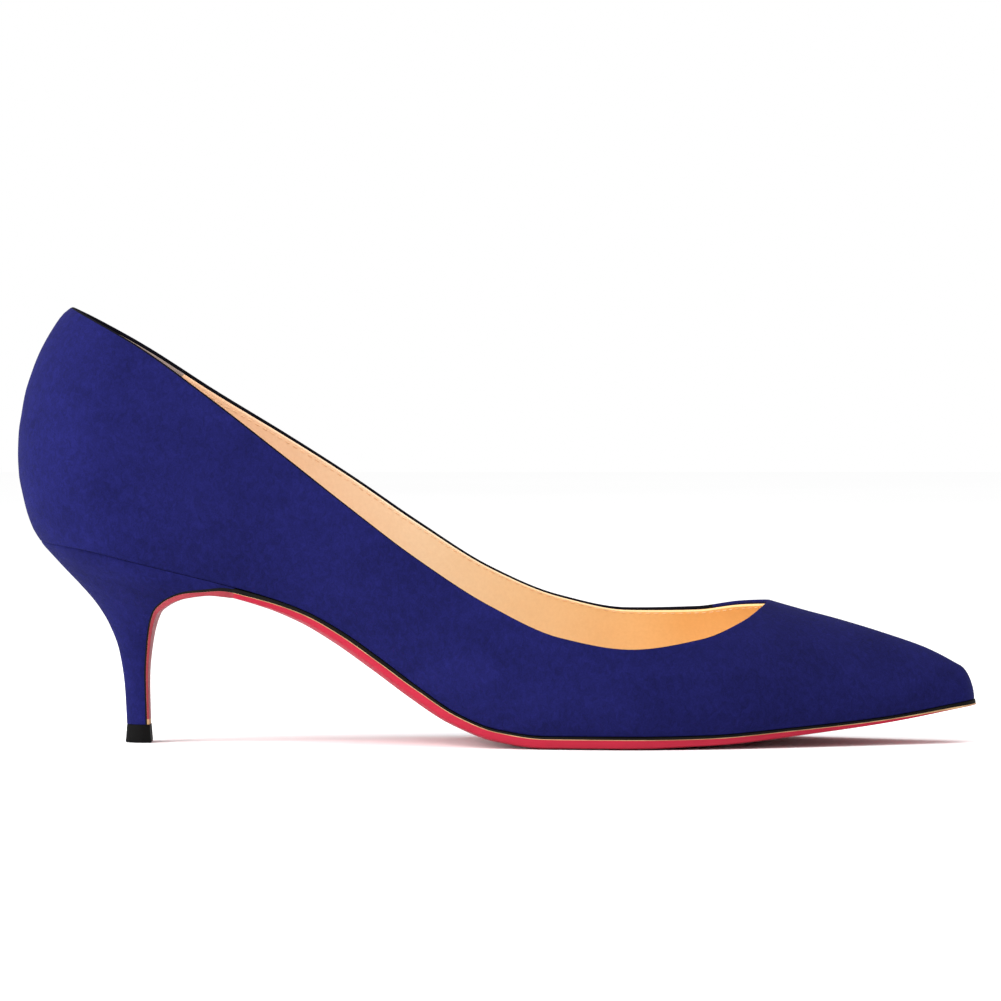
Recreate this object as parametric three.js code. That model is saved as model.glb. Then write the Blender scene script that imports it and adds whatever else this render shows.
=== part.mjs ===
// Kitten heel pump, right shoe: pointed toe, suede upper, covered heel, thin leather outsole.
// Millimetres, +Z up. The toe points along +X and the outer side of the foot is at -Y.
// While it is made, X runs from the back of the heel; the finished group is centred on its box.
import * as THREE from "three";

// Driving dimensions of the last
const LENGTH = 250; // back of the heel to the tip of the toe
const BALL_WIDTH = 74; // outsole across the ball
const SEAT_HEIGHT = 52.6; // floor to the feather line at the back
const SEAT_BACK = 5.9; // how far the feather line starts in front of the heel's bulge
const SEAT_RADIUS = 24.4; // round of the heel seat in plan
const TOE_SPRING = 8; // rise of the feather line at the tip
const TOE_ROUND = 3.5; // length over which the tip is rounded
const ARCH_LIFT = 3; // how much higher the inner side of the waist lies
const BACK_HEIGHT = 113.8; // floor to the topline at the back
const BACK_LEAN = 14.4; // the topline's back, in front of the heel's bulge
const VAMP_LENGTH = 54.3; // throat to the tip of the toe
const VAMP_HEIGHT = 32.6; // top of the vamp over the feather line at the throat
const CROWN = 2; // roundness of the sections over the foot
const SWELL_RISE = 0.7; // below 1 the widest place of the sections lies under half height

// Walls, soles and clearances
const CLEARANCE = 0.3;
const WALL = 1.7; // suede, stiffener and lining together
const MARGIN = 11; // lasting margin turned in under the foot
const TOE_MARGIN = 24; // the same, measured at the tip
const FOREFOOT_SOLE = 3.1; // outsole under the ball
const SOLE_PROUD = 0.3; // how far the outsole stands out from the feather line
const SOCK = 1.8; // insole with its sock lining
const SOCK_INSET = 2.6; // edge of the insole inside the feather line
const SOCK_TIP_INSET = 9; // the same, measured at the tip

// Heel
const LIFT_HEIGHT = 4.5; // top piece, the part of the heel that walks on the floor
const LIFT_FLARE = 0.35; // how much wider the top piece is at the floor
const HEEL_BREAST = 33.4; // back of the shoe to the front of the heel's stem
const STEM_DEPTH = 5.1; // front to back, at the foot of the stem
const WING_REACH = 24.4; // how far the heel's wings run forward from its breast
const WING_RAMP = 12; // length over which the outsole drops to pass under the wings
const FLAP_EDGE = 0.75; // edge of the flap down the breast, as a share of its thickness

// Bottom of the last. heel and spring are shares of the seat's and the toe's rise, arch of ARCH_LIFT.
const BOTTOM = [
  { along: 0.025, heel: 1, spring: 0, arch: 0 },
  { along: 0.07, heel: 0.966, spring: 0, arch: 0 },
  { along: 0.15, heel: 0.868, spring: 0, arch: 0 },
  { along: 0.21, heel: 0.793, spring: 0, arch: 0 },
  { along: 0.256, heel: 0.728, spring: 0, arch: 0.1 },
  { along: 0.3, heel: 0.648, spring: 0, arch: 0.5 },
  { along: 0.34, heel: 0.538, spring: 0, arch: 0.85 },
  { along: 0.38, heel: 0.396, spring: 0, arch: 1 },
  { along: 0.42, heel: 0.245, spring: 0, arch: 0.85 },
  { along: 0.46, heel: 0.11, spring: 0, arch: 0.5 },
  { along: 0.5, heel: 0.032, spring: 0, arch: 0.12 },
  { along: 0.55, heel: 0, spring: 0, arch: 0 },
  { along: 0.66, heel: 0, spring: 0, arch: 0 },
  { along: 0.72, heel: 0, spring: 0.03, arch: 0 },
  { along: 0.8, heel: 0, spring: 0.21, arch: 0 },
  { along: 0.9, heel: 0, spring: 0.49, arch: 0 },
  { along: 1, heel: 0, spring: 1, arch: 0 },
];

// Half widths of the feather line and how far the upper swells past them, as shares of BALL_WIDTH.
const OUTLINE = [
  { along: 0, outer: 0.33, inner: 0.33, outerSwell: 0.025, innerSwell: 0.025 },
  { along: 0.1, outer: 0.33, inner: 0.33, outerSwell: 0.03, innerSwell: 0.03 },
  { along: 0.2, outer: 0.322, inner: 0.312, outerSwell: 0.04, innerSwell: 0.05 },
  { along: 0.3, outer: 0.305, inner: 0.265, outerSwell: 0.06, innerSwell: 0.09 },
  { along: 0.4, outer: 0.335, inner: 0.25, outerSwell: 0.075, innerSwell: 0.12 },
  { along: 0.5, outer: 0.42, inner: 0.342, outerSwell: 0.062, innerSwell: 0.09 },
  { along: 0.58, outer: 0.48, inner: 0.43, outerSwell: 0.05, innerSwell: 0.058 },
  { along: 0.64, outer: 0.5, inner: 0.475, outerSwell: 0.045, innerSwell: 0.048 },
  { along: 0.7, outer: 0.472, inner: 0.475, outerSwell: 0.042, innerSwell: 0.045 },
  { along: 0.78, outer: 0.384, inner: 0.4, outerSwell: 0.038, innerSwell: 0.04 },
  { along: 0.86, outer: 0.272, inner: 0.288, outerSwell: 0.03, innerSwell: 0.03 },
  { along: 0.93, outer: 0.163, inner: 0.174, outerSwell: 0.02, innerSwell: 0.02 },
  { along: 0.98, outer: 0.09, inner: 0.096, outerSwell: 0.01, innerSwell: 0.01 },
  { along: 1, outer: 0.07, inner: 0.074, outerSwell: 0.005, innerSwell: 0.005 },
];

// Height of the last over its bottom, as shares of VAMP_HEIGHT. Behind the throat it is the bare instep.
const CREST = [
  { along: 0, height: 2.7 },
  { along: 0.1, height: 2.68 },
  { along: 0.2, height: 2.64 },
  { along: 0.3, height: 2.55 },
  { along: 0.4, height: 2.4 },
  { along: 0.5, height: 2.18 },
  { along: 0.6, height: 1.77 },
  { along: 0.7, height: 1.27 },
  { along: 0.783, height: 1 },
  { along: 0.816, height: 0.906 },
  { along: 0.858, height: 0.793 },
  { along: 0.9, height: 0.663 },
  { along: 0.942, height: 0.506 },
  { along: 0.962, height: 0.41 },
  { along: 0.98, height: 0.31 },
  { along: 1, height: 0.2 },
];

// Back seam. up is a share of the rise from seat to topline, in a share of LENGTH.
const BACK = [
  { up: 0, in: 0.0236 },
  { up: 0.05, in: 0.0161 },
  { up: 0.12, in: 0.0096 },
  { up: 0.2, in: 0.0048 },
  { up: 0.28, in: 0.0011 },
  { up: 0.37, in: 0 },
  { up: 0.46, in: 0.0008 },
  { up: 0.54, in: 0.0037 },
  { up: 0.63, in: 0.0077 },
  { up: 0.71, in: 0.0138 },
  { up: 0.8, in: 0.0224 },
  { up: 0.92, in: 0.0389 },
  { up: 0.97, in: 0.0482 },
  { up: 1, in: 0.0576 },
];

// Topline from back to throat, as shares of the drop between them. Below nought it dips under the throat.
const TOPLINE = [
  { along: 0, outer: 1, inner: 1 },
  { along: 0.1, outer: 0.865, inner: 0.866 },
  { along: 0.2, outer: 0.694, inner: 0.713 },
  { along: 0.3, outer: 0.51, inner: 0.568 },
  { along: 0.4, outer: 0.323, inner: 0.416 },
  { along: 0.5, outer: 0.145, inner: 0.254 },
  { along: 0.6, outer: -0.006, inner: 0.104 },
  { along: 0.7, outer: -0.112, inner: 0.004 },
  { along: 0.8, outer: -0.15, inner: -0.041 },
  { along: 0.9, outer: -0.118, inner: -0.033 },
  { along: 0.96, outer: -0.062, inner: -0.009 },
  { along: 1, outer: 0, inner: 0 },
];

// Outsole: thickness in the middle, thickness of its edge and the flat share of its width.
// The thicknesses are shares of FOREFOOT_SOLE.
const SOLE = [
  { along: 0.21, middle: 0.86, edge: 0.6, flat: 0 },
  { along: 0.23, middle: 0.84, edge: 0.6, flat: 0 },
  { along: 0.26, middle: 0.96, edge: 0.6, flat: 0 },
  { along: 0.3, middle: 1.18, edge: 0.6, flat: 0 },
  { along: 0.36, middle: 1.36, edge: 0.62, flat: 0 },
  { along: 0.42, middle: 1.3, edge: 0.64, flat: 0.2 },
  { along: 0.48, middle: 1.05, edge: 0.68, flat: 0.62 },
  { along: 0.54, middle: 1, edge: 0.74, flat: 0.84 },
  { along: 0.64, middle: 1, edge: 0.74, flat: 0.84 },
  { along: 0.7, middle: 0.88, edge: 0.66, flat: 0.8 },
  { along: 0.77, middle: 0.8, edge: 0.58, flat: 0.7 },
  { along: 0.85, middle: 0.6, edge: 0.46, flat: 0.55 },
  { along: 0.92, middle: 0.45, edge: 0.37, flat: 0.4 },
  { along: 1, middle: 0.4, edge: 0.32, flat: 0.3 },
];

// Heel, from its seat to the foot of its stem. backIn is a share of the way from the seat's back to the
// stem's back, out of WING_REACH in front of the breast, the heights are shares of SEAT_HEIGHT, and flap
// is the outsole's thickness down the breast, as a share of FOREFOOT_SOLE.
const HEEL = [
  { down: 0, backIn: 0, backUp: 1, out: 1, frontUp: 0.778, flap: 0.85 },
  { down: 0.1, backIn: 0.138, backUp: 0.935, out: 0.851, frontUp: 0.785, flap: 0.8 },
  { down: 0.2, backIn: 0.298, backUp: 0.861, out: 0.66, frontUp: 0.777, flap: 0.56 },
  { down: 0.3, backIn: 0.475, backUp: 0.781, out: 0.447, frontUp: 0.765, flap: 0.6 },
  { down: 0.4, backIn: 0.651, backUp: 0.692, out: 0.211, frontUp: 0.718, flap: 0.58 },
  { down: 0.5, backIn: 0.799, backUp: 0.587, out: 0.082, frontUp: 0.65, flap: 0.44 },
  { down: 0.65, backIn: 0.91, backUp: 0.458, out: 0.016, frontUp: 0.51, flap: 0.34 },
  { down: 0.8, backIn: 0.9735, backUp: 0.285, out: -0.011, frontUp: 0.33, flap: 0.28 },
  { down: 1, backIn: 1, backUp: 0.0912, out: 0, frontUp: 0.0912, flap: 0.26 },
];

// Width of the heel below its seat: under is a share of SEAT_HEIGHT, wide a share of the seat's width.
const HEEL_WIDTH = [
  { under: 0, wide: 1 },
  { under: 0.06, wide: 0.945 },
  { under: 0.12, wide: 0.82 },
  { under: 0.19, wide: 0.65 },
  { under: 0.27, wide: 0.485 },
  { under: 0.36, wide: 0.355 },
  { under: 0.48, wide: 0.262 },
  { under: 0.62, wide: 0.21 },
  { under: 0.9, wide: 0.193 },
];

// Fineness of the meshes
const SIDE_STEPS = 54; // along each side of the upper
const OUTER_ROWS = [0, 0.05, 0.12, 0.2, 0.3, 0.4, 0.5, 0.6, 0.7, 0.8, 0.9, 1];
const INNER_ROWS = [0.13, 0.22, 0.33, 0.45, 0.57, 0.69, 0.8, 0.91, 1];
const SOLE_STEPS = 50;
const ACROSS_STEPS = 12;
const HEEL_STEPS = 10;
const HEEL_ROWS = [0, 0.04, 0.1, 0.16, 0.22, 0.28, 0.34, 0.4, 0.46, 0.54, 0.63, 0.73, 0.86, 1];
const LIFT_ROWS = [1, 0.4, 0]; // heights on the top piece, as shares of LIFT_HEIGHT
const SOCK_ACROSS = [0, 0.25, 0.5, 0.75, 1];
const SOCK_END = 0.004; // share left off each end of the insole, so that the end has a width
const SOLE_END = 0.0006; // the same, at the tip of the outsole
const HALVINGS = 24; // steps of a search by halves

const SIDES = { outer: -1, inner: 1 };
const FEATHER_TIP = LENGTH - SOLE_PROUD;
const THROAT = LENGTH - VAMP_LENGTH;
const WING_TIP = HEEL_BREAST + WING_REACH;
const SOLE_DEPTH = FOREFOOT_SOLE + CLEARANCE;

// A smooth line through one column of a table. It never swings past a row.
function through(rows, column, over = "along") {
  const rise = (i) => rows[i + 1][column] - rows[i][column];
  const run = (i) => rows[i + 1][over] - rows[i][over];
  const slopes = rows.slice(1).map((row, i) => rise(i) / run(i));
  const tangents = rows.map((row, i) => {
    const before = slopes[Math.max(i - 1, 0)];
    const after = slopes[Math.min(i, slopes.length - 1)];
    return before * after > 0 ? (2 * before * after) / (before + after) : 0;
  });
  return (at) => {
    let i = 0;
    while (i < rows.length - 2 && at > rows[i + 1][over]) i++;
    const span = run(i);
    const t = THREE.MathUtils.clamp((at - rows[i][over]) / span, 0, 1);
    const rest = 1 - t;
    return (
      rows[i][column] * rest * rest * (1 + 2 * t) +
      rows[i + 1][column] * t * t * (3 - 2 * t) +
      span * t * rest * (tangents[i] * rest - tangents[i + 1] * t)
    );
  };
}

const heelShare = through(BOTTOM, "heel");
const springShare = through(BOTTOM, "spring");
const archShare = through(BOTTOM, "arch");
const outlineShare = { outer: through(OUTLINE, "outer"), inner: through(OUTLINE, "inner") };
const swellShare = { outer: through(OUTLINE, "outerSwell"), inner: through(OUTLINE, "innerSwell") };
const crestShare = through(CREST, "height");
const backShare = through(BACK, "in", "up");
const toplineShare = { outer: through(TOPLINE, "outer"), inner: through(TOPLINE, "inner") };
const heelColumn = Object.fromEntries(
  Object.keys(HEEL[0]).map((column) => [column, through(HEEL, column, "down")]),
);
const heelWidthShare = through(HEEL_WIDTH, "wide", "under");
const soleColumn = Object.fromEntries(
  Object.keys(SOLE[0]).map((column) => [column, through(SOLE, column)]),
);

// Rises from 0 to 1 as a quarter circle does, and stays there.
function roundEnd(share) {
  const t = THREE.MathUtils.clamp(share, 0, 1);
  return Math.sqrt(t * (2 - t));
}

// Spaces shares closely at both ends, where the outline turns, or at the start alone.
const easeEnds = (share) => (1 - Math.cos(Math.PI * share)) / 2;
const easeStart = (share) => 1 - Math.cos((Math.PI * share) / 2);

// Bottom of the last

const seatLine = (x) =>
  SOLE_DEPTH + heelShare(x / LENGTH) * (SEAT_HEIGHT - SOLE_DEPTH) + springShare(x / LENGTH) * TOE_SPRING;

// How much higher the bottom lies towards the inner edge of the waist.
function archRise(x, y) {
  const half = outlineShare.inner(x / LENGTH) * BALL_WIDTH;
  const share = THREE.MathUtils.clamp(y / half, 0, 1);
  return ARCH_LIFT * archShare(x / LENGTH) * share * share;
}

// A point over or under the bottom of the last, measured square to it.
function overBottom(x, y, height) {
  const step = 0.5;
  const slope = (seatLine(x + step) - seatLine(x - step)) / (2 * step);
  const size = Math.hypot(1, slope);
  return new THREE.Vector3(
    x - (height * slope) / size,
    y,
    seatLine(x) + archRise(x, y) + height / size,
  );
}

// Half width of the bottom, drawn in by an inset.
function footprint(side, x, inset = 0, tipInset = inset) {
  const core = outlineShare[side](x / LENGTH) * BALL_WIDTH - inset;
  const back = roundEnd((x - SEAT_BACK - inset) / (SEAT_RADIUS - inset));
  return core * back * roundEnd((FEATHER_TIP - tipInset - x) / TOE_ROUND);
}

// Surface of the upper

const crestLine = (x) =>
  seatLine(x) + crestShare(x / LENGTH) * VAMP_HEIGHT * roundEnd((FEATHER_TIP - x) / TOE_ROUND);

const backLine = (z) => LENGTH * backShare((z - SEAT_HEIGHT) / (BACK_HEIGHT - SEAT_HEIGHT));

// Half width of the upper at a place on its side view.
function halfWidth(side, x, z) {
  const foot = seatLine(x) + (side === "inner" ? archRise(x, BALL_WIDTH) : 0);
  const crest = crestLine(x);
  const rise = crest > foot ? THREE.MathUtils.clamp((z - foot) / (crest - foot), 0, 1) : 0;
  const tip = roundEnd((FEATHER_TIP - x) / TOE_ROUND);
  const core = outlineShare[side](x / LENGTH) * Math.pow(1 - Math.pow(rise, CROWN), 1 / CROWN);
  const swell = swellShare[side](x / LENGTH) * Math.sin(Math.PI * Math.pow(rise, SWELL_RISE));
  return BALL_WIDTH * (core + swell) * tip * roundEnd((x - backLine(z)) / SEAT_RADIUS);
}

// A four-sided patch blended from its edges, in the side view.
function blendEdges(low, high, start, end, across, up) {
  const [lowStart, lowEnd, highStart, highEnd] = [low(0), low(1), high(0), high(1)];
  const edges = low(across)
    .multiplyScalar(1 - up)
    .addScaledVector(high(across), up)
    .addScaledVector(start(up), 1 - across)
    .addScaledVector(end(up), across);
  return edges
    .addScaledVector(lowStart, -(1 - across) * (1 - up))
    .addScaledVector(lowEnd, -across * (1 - up))
    .addScaledVector(highStart, -(1 - across) * up)
    .addScaledVector(highEnd, -across * up);
}

// The upper's side view: feather line below, topline above, back seam behind, vamp in front.
function upperPoint(side, across, up) {
  const feather = (p) => {
    const x = THREE.MathUtils.lerp(SEAT_BACK, FEATHER_TIP, p);
    return new THREE.Vector2(x, seatLine(x) + (side === "inner" ? archRise(x, BALL_WIDTH) : 0));
  };
  const topline = (p) => {
    const throatHeight = crestLine(THROAT);
    const height = throatHeight + toplineShare[side](p) * (BACK_HEIGHT - throatHeight);
    return new THREE.Vector2(THREE.MathUtils.lerp(BACK_LEAN, THROAT, p), height);
  };
  const back = (v) => {
    const z = THREE.MathUtils.lerp(SEAT_HEIGHT, BACK_HEIGHT, v);
    return new THREE.Vector2(backLine(z), z);
  };
  const vamp = (v) => {
    const x = THREE.MathUtils.lerp(FEATHER_TIP, THROAT, easeStart(v));
    return new THREE.Vector2(x, crestLine(x));
  };
  const spot = blendEdges(feather, topline, back, vamp, across, up);
  const y = across > 0 && across < 1 ? halfWidth(side, spot.x, spot.y) : 0;
  return new THREE.Vector3(spot.x, SIDES[side] * y, spot.y);
}

// A closed ring round the shoe: back seam, outer side, toe, inner side.
function ringOf(place) {
  const ring = [];
  for (let i = 0; i < 2 * SIDE_STEPS; i++) {
    const side = i <= SIDE_STEPS ? "outer" : "inner";
    const share = easeEnds(side === "outer" ? i / SIDE_STEPS : 2 - i / SIDE_STEPS);
    ring.push(place(side, share));
  }
  return ring;
}

// A ring on the bottom of the last.
function bottomRing(inset, tipInset, height) {
  return ringOf((side, share) => {
    const x = THREE.MathUtils.lerp(SEAT_BACK + inset, FEATHER_TIP - tipInset, share);
    const y = share > 0 && share < 1 ? SIDES[side] * footprint(side, x, inset, tipInset) : 0;
    return overBottom(x, y, height);
  });
}

// Solids

// Faces between neighbouring rows of points. Rows close on themselves, and so may the stack.
function stripFaces(rowCount, rowLength, stackCloses) {
  const faces = [];
  for (let r = 0; r < rowCount - (stackCloses ? 0 : 1); r++) {
    for (let i = 0; i < rowLength; i++) {
      const here = r * rowLength;
      const there = ((r + 1) % rowCount) * rowLength;
      const next = (i + 1) % rowLength;
      faces.push([here + i, here + next, there + next]);
      faces.push([here + i, there + next, there + i]);
    }
  }
  return faces;
}

// A flat end that joins the first and last half of one row as the rungs of a ladder do.
function ladderFaces(start, rowLength) {
  const faces = [];
  for (let low = 0, high = rowLength - 1; low + 1 < high; low++, high--) {
    faces.push([start + low, start + high, start + low + 1]);
    if (low + 2 < high) faces.push([start + low + 1, start + high, start + high - 1]);
  }
  return faces;
}

// One closed solid from faces, turned so that it has a positive volume. Faces without an area are left out.
function solid(name, points, faces, look) {
  const volume = faces.reduce(
    (sum, [a, b, c]) => sum + points[a].dot(points[b].clone().cross(points[c])),
    0,
  );
  const kept = faces.filter(
    ([a, b, c]) =>
      points[a].distanceTo(points[b]) > 0 &&
      points[b].distanceTo(points[c]) > 0 &&
      points[c].distanceTo(points[a]) > 0,
  );
  const turned = volume < 0 ? kept.map(([a, b, c]) => [a, c, b]) : kept;
  const geometry = new THREE.BufferGeometry().setFromPoints(points);
  geometry.setIndex(turned.flat());
  geometry.computeVertexNormals();
  const mesh = new THREE.Mesh(geometry, new THREE.MeshStandardMaterial(look));
  mesh.name = name;
  return mesh;
}

// A stack of rows with a flat ladder at each end.
function loft(name, rows, look) {
  const size = rows[0].length;
  const top = ladderFaces(0, size);
  const foot = ladderFaces((rows.length - 1) * size, size).map(([a, b, c]) => [a, c, b]);
  return solid(name, rows.flat(), [...stripFaces(rows.length, size, false), ...top, ...foot], look);
}

// The same rows, moved inwards by the wall.
function drawnIn(rows, distance) {
  const geometry = new THREE.BufferGeometry().setFromPoints(rows.flat());
  geometry.setIndex(stripFaces(rows.length, rows[0].length, false).flat());
  geometry.computeVertexNormals();
  const normals = geometry.getAttribute("normal");
  const normal = new THREE.Vector3();
  return rows.map((row, r) =>
    row.map((point, i) => {
      normal.fromBufferAttribute(normals, r * row.length + i);
      return point.clone().addScaledVector(normal, -distance);
    }),
  );
}

// Upper: one shell, open at the collar and underneath inside its lasting margin.
function makeUpper() {
  const outside = OUTER_ROWS.slice(1).map((v) => ringOf((side, share) => upperPoint(side, share, v)));
  const traced = INNER_ROWS.map((v) => ringOf((side, share) => upperPoint(side, share, v)));
  const inside = drawnIn(traced, WALL).reverse();
  const rows = [
    bottomRing(MARGIN, TOE_MARGIN, 0),
    bottomRing(MARGIN / 2, TOE_MARGIN / 2, 0),
    bottomRing(0, 0, 0),
    ...outside,
    ...inside,
    bottomRing(WALL, 2 * WALL, WALL),
    bottomRing((MARGIN + WALL) / 2, (TOE_MARGIN + WALL) / 2, WALL),
    bottomRing(MARGIN, TOE_MARGIN, WALL),
  ];
  const faces = stripFaces(rows.length, rows[0].length, true);
  return solid("upper", rows.flat(), faces, { color: "#23236a", roughness: 0.95, metalness: 0 });
}

// Insole: a thin sheet on the lasting margin, inside the upper.
function makeInsole() {
  const low = WALL + CLEARANCE;
  const rows = [];
  for (let i = 0; i <= SOLE_STEPS; i++) {
    const share = THREE.MathUtils.lerp(SOCK_END, 1 - SOCK_END, easeEnds(i / SOLE_STEPS));
    const x = THREE.MathUtils.lerp(SEAT_BACK + SOCK_INSET, FEATHER_TIP - SOCK_TIP_INSET, share);
    const outer = -footprint("outer", x, SOCK_INSET, SOCK_TIP_INSET);
    const inner = footprint("inner", x, SOCK_INSET, SOCK_TIP_INSET);
    const across = SOCK_ACROSS.map((t) => THREE.MathUtils.lerp(outer, inner, t));
    rows.push([
      ...across.map((y) => overBottom(x, y, low)),
      ...across.reverse().map((y) => overBottom(x, y, low + SOCK)),
    ]);
  }
  return loft("insole", rows, { color: "#e0ab78", roughness: 0.6, metalness: 0 });
}

// Heel

const stemBack = HEEL_BREAST - STEM_DEPTH;

// Back and front of the heel in the side view, from the seat down to the top piece.
function heelBack(w) {
  const x = THREE.MathUtils.lerp(SEAT_BACK, stemBack, heelColumn.backIn(w));
  return new THREE.Vector2(x, heelHeight(heelColumn.backUp(w)));
}

function heelFront(w) {
  const x = HEEL_BREAST + WING_REACH * heelColumn.out(w);
  const z = w === 0 ? seatLine(WING_TIP) - CLEARANCE : heelHeight(heelColumn.frontUp(w));
  return new THREE.Vector2(x, z);
}

// Heights on the heel run from the seat down to the top of the top piece.
function heelHeight(share) {
  const foot = HEEL[HEEL.length - 1].backUp;
  const foothold = LIFT_HEIGHT + CLEARANCE;
  return foothold + ((share - foot) / (1 - foot)) * (SEAT_HEIGHT - CLEARANCE - foothold);
}

// Where the heel's back lies at a height, found on its own curve.
function heelBackAt(z) {
  let [low, high] = [0, 1];
  for (let i = 0; i < HALVINGS; i++) {
    const middle = (low + high) / 2;
    if (heelBack(middle).y > z) low = middle;
    else high = middle;
  }
  return heelBack(low).x;
}

// Half width of the heel at a place on its side view: round behind, straight in front.
function heelHalfWidth(side, x, z) {
  const under = Math.max(seatLine(x) - CLEARANCE - z, 0) / SEAT_HEIGHT;
  const half = outlineShare[side](x / LENGTH) * BALL_WIDTH * heelWidthShare(under);
  return half * roundEnd((x - heelBackAt(z)) / Math.min(half, SEAT_RADIUS));
}

function heelRow(w) {
  const seat = (q) => {
    const x = THREE.MathUtils.lerp(SEAT_BACK, WING_TIP, q);
    return new THREE.Vector2(x, seatLine(x) - CLEARANCE);
  };
  const foot = (q) => heelBack(1).lerp(heelFront(1), q);
  const place = (side, q) => {
    const spot = blendEdges(seat, foot, heelBack, heelFront, q, w);
    const y = q > 0 ? heelHalfWidth(side, spot.x, spot.y) : 0;
    return new THREE.Vector3(spot.x, SIDES[side] * y, spot.y);
  };
  const shares = [];
  for (let i = 0; i <= HEEL_STEPS; i++) shares.push(easeStart(i / HEEL_STEPS));
  return [
    ...shares.map((q) => place("outer", q)),
    ...shares.reverse().map((q) => place("inner", q)),
  ];
}

function makeHeel() {
  return loft("heel", HEEL_ROWS.map(heelRow), { color: "#282863", roughness: 0.95, metalness: 0 });
}

// Top piece: the hard lift under the stem and under the end of the flap.
function makeTopPiece() {
  const half = heelHalfWidth("outer", HEEL_BREAST, heelHeight(HEEL[HEEL.length - 1].frontUp));
  const depth = STEM_DEPTH + CLEARANCE + FOREFOOT_SOLE * heelColumn.flap(1);
  const rows = LIFT_ROWS.map((up) => {
    const z = LIFT_HEIGHT * up;
    const flare = LIFT_FLARE * (1 - up);
    const [wide, deep] = [half + flare, depth + 2 * flare];
    const halfLoop = [];
    for (let i = 0; i <= HEEL_STEPS; i++) {
      const x = deep * easeStart(i / HEEL_STEPS);
      halfLoop.push([stemBack - flare + x, wide * roundEnd(x / wide)]);
    }
    return [
      ...halfLoop.map(([x, y]) => new THREE.Vector3(x, -y, z)),
      ...halfLoop.reverse().map(([x, y]) => new THREE.Vector3(x, y, z)),
    ];
  });
  return loft("top_piece", rows, { color: "#1f1c1c", roughness: 0.5, metalness: 0 });
}

// Outsole

// Stations from the tip of the toe along the bottom, then down the front of the heel.
function soleStations() {
  const stations = [];
  for (let i = 0; i <= SOLE_STEPS; i++) {
    const share = THREE.MathUtils.lerp(SOLE_END, 1, easeStart(i / SOLE_STEPS));
    const x = THREE.MathUtils.lerp(LENGTH, WING_TIP, share);
    const nearWing = THREE.MathUtils.smoothstep(WING_RAMP - (x - WING_TIP), 0, WING_RAMP);
    const top = overBottom(x, 0, -CLEARANCE * (1 + nearWing));
    stations.push({
      top: new THREE.Vector2(top.x, top.z),
      x,
      outer: footprint("outer", x, -SOLE_PROUD),
      inner: footprint("inner", x, -SOLE_PROUD),
      middle: soleColumn.middle(x / LENGTH) * FOREFOOT_SOLE,
      edge: soleColumn.edge(x / LENGTH) * FOREFOOT_SOLE,
      flat: soleColumn.flat(x / LENGTH),
    });
  }
  for (const w of HEEL_ROWS.slice(1)) {
    const front = heelFront(w);
    const thick = heelColumn.flap(w) * FOREFOOT_SOLE;
    stations.push({
      top: front,
      x: WING_TIP,
      outer: heelHalfWidth("outer", front.x, front.y),
      inner: heelHalfWidth("inner", front.x, front.y),
      middle: thick,
      edge: thick * FLAP_EDGE,
      flat: 0,
      onBreast: true,
    });
  }
  return stations;
}

function makeOutsole() {
  const stations = soleStations();
  const etas = [];
  for (let i = 0; i <= ACROSS_STEPS; i++) {
    etas.push(Math.sin((Math.PI * (2 * i - ACROSS_STEPS)) / (2 * ACROSS_STEPS)));
  }
  const rows = stations.map((station, i) => {
    const before = stations[Math.max(i - 1, 0)].top;
    const after = stations[Math.min(i + 1, stations.length - 1)].top;
    const way = after.clone().sub(before).normalize();
    const down = new THREE.Vector2(-way.y, way.x);
    const lift = station.onBreast ? CLEARANCE : 0;
    const place = (eta, depth) => {
      const y = eta * (eta < 0 ? station.outer : station.inner);
      const rise = station.onBreast ? 0 : archRise(station.x, y);
      const spot = station.top.clone().addScaledVector(down, lift + depth);
      return new THREE.Vector3(spot.x, y, spot.y + rise);
    };
    const depthAt = (eta) => {
      const t = Math.max(Math.abs(eta) - station.flat, 0) / (1 - station.flat);
      return THREE.MathUtils.lerp(station.middle, station.edge, t * t);
    };
    return [
      ...etas.map((eta) => place(eta, 0)),
      ...etas.toReversed().map((eta) => place(eta, depthAt(eta))),
    ];
  });
  return loft("outsole", rows, { color: "#b82e43", roughness: 0.4, metalness: 0 });
}

const shoe = new THREE.Group();
shoe.name = "kitten_heel_pump";
shoe.add(makeUpper(), makeInsole(), makeOutsole(), makeHeel(), makeTopPiece());

// The origin stands on the floor under the middle of the shoe.
const box = new THREE.Box3().setFromObject(shoe);
const middle = box.getCenter(new THREE.Vector3());
shoe.position.set(-middle.x, -middle.y, -box.min.z);
const pump = new THREE.Group();
pump.add(shoe);

export default pump;
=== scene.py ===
import logging
import math
from collections.abc import Sequence
from dataclasses import dataclass, field
from enum import Enum

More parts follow.
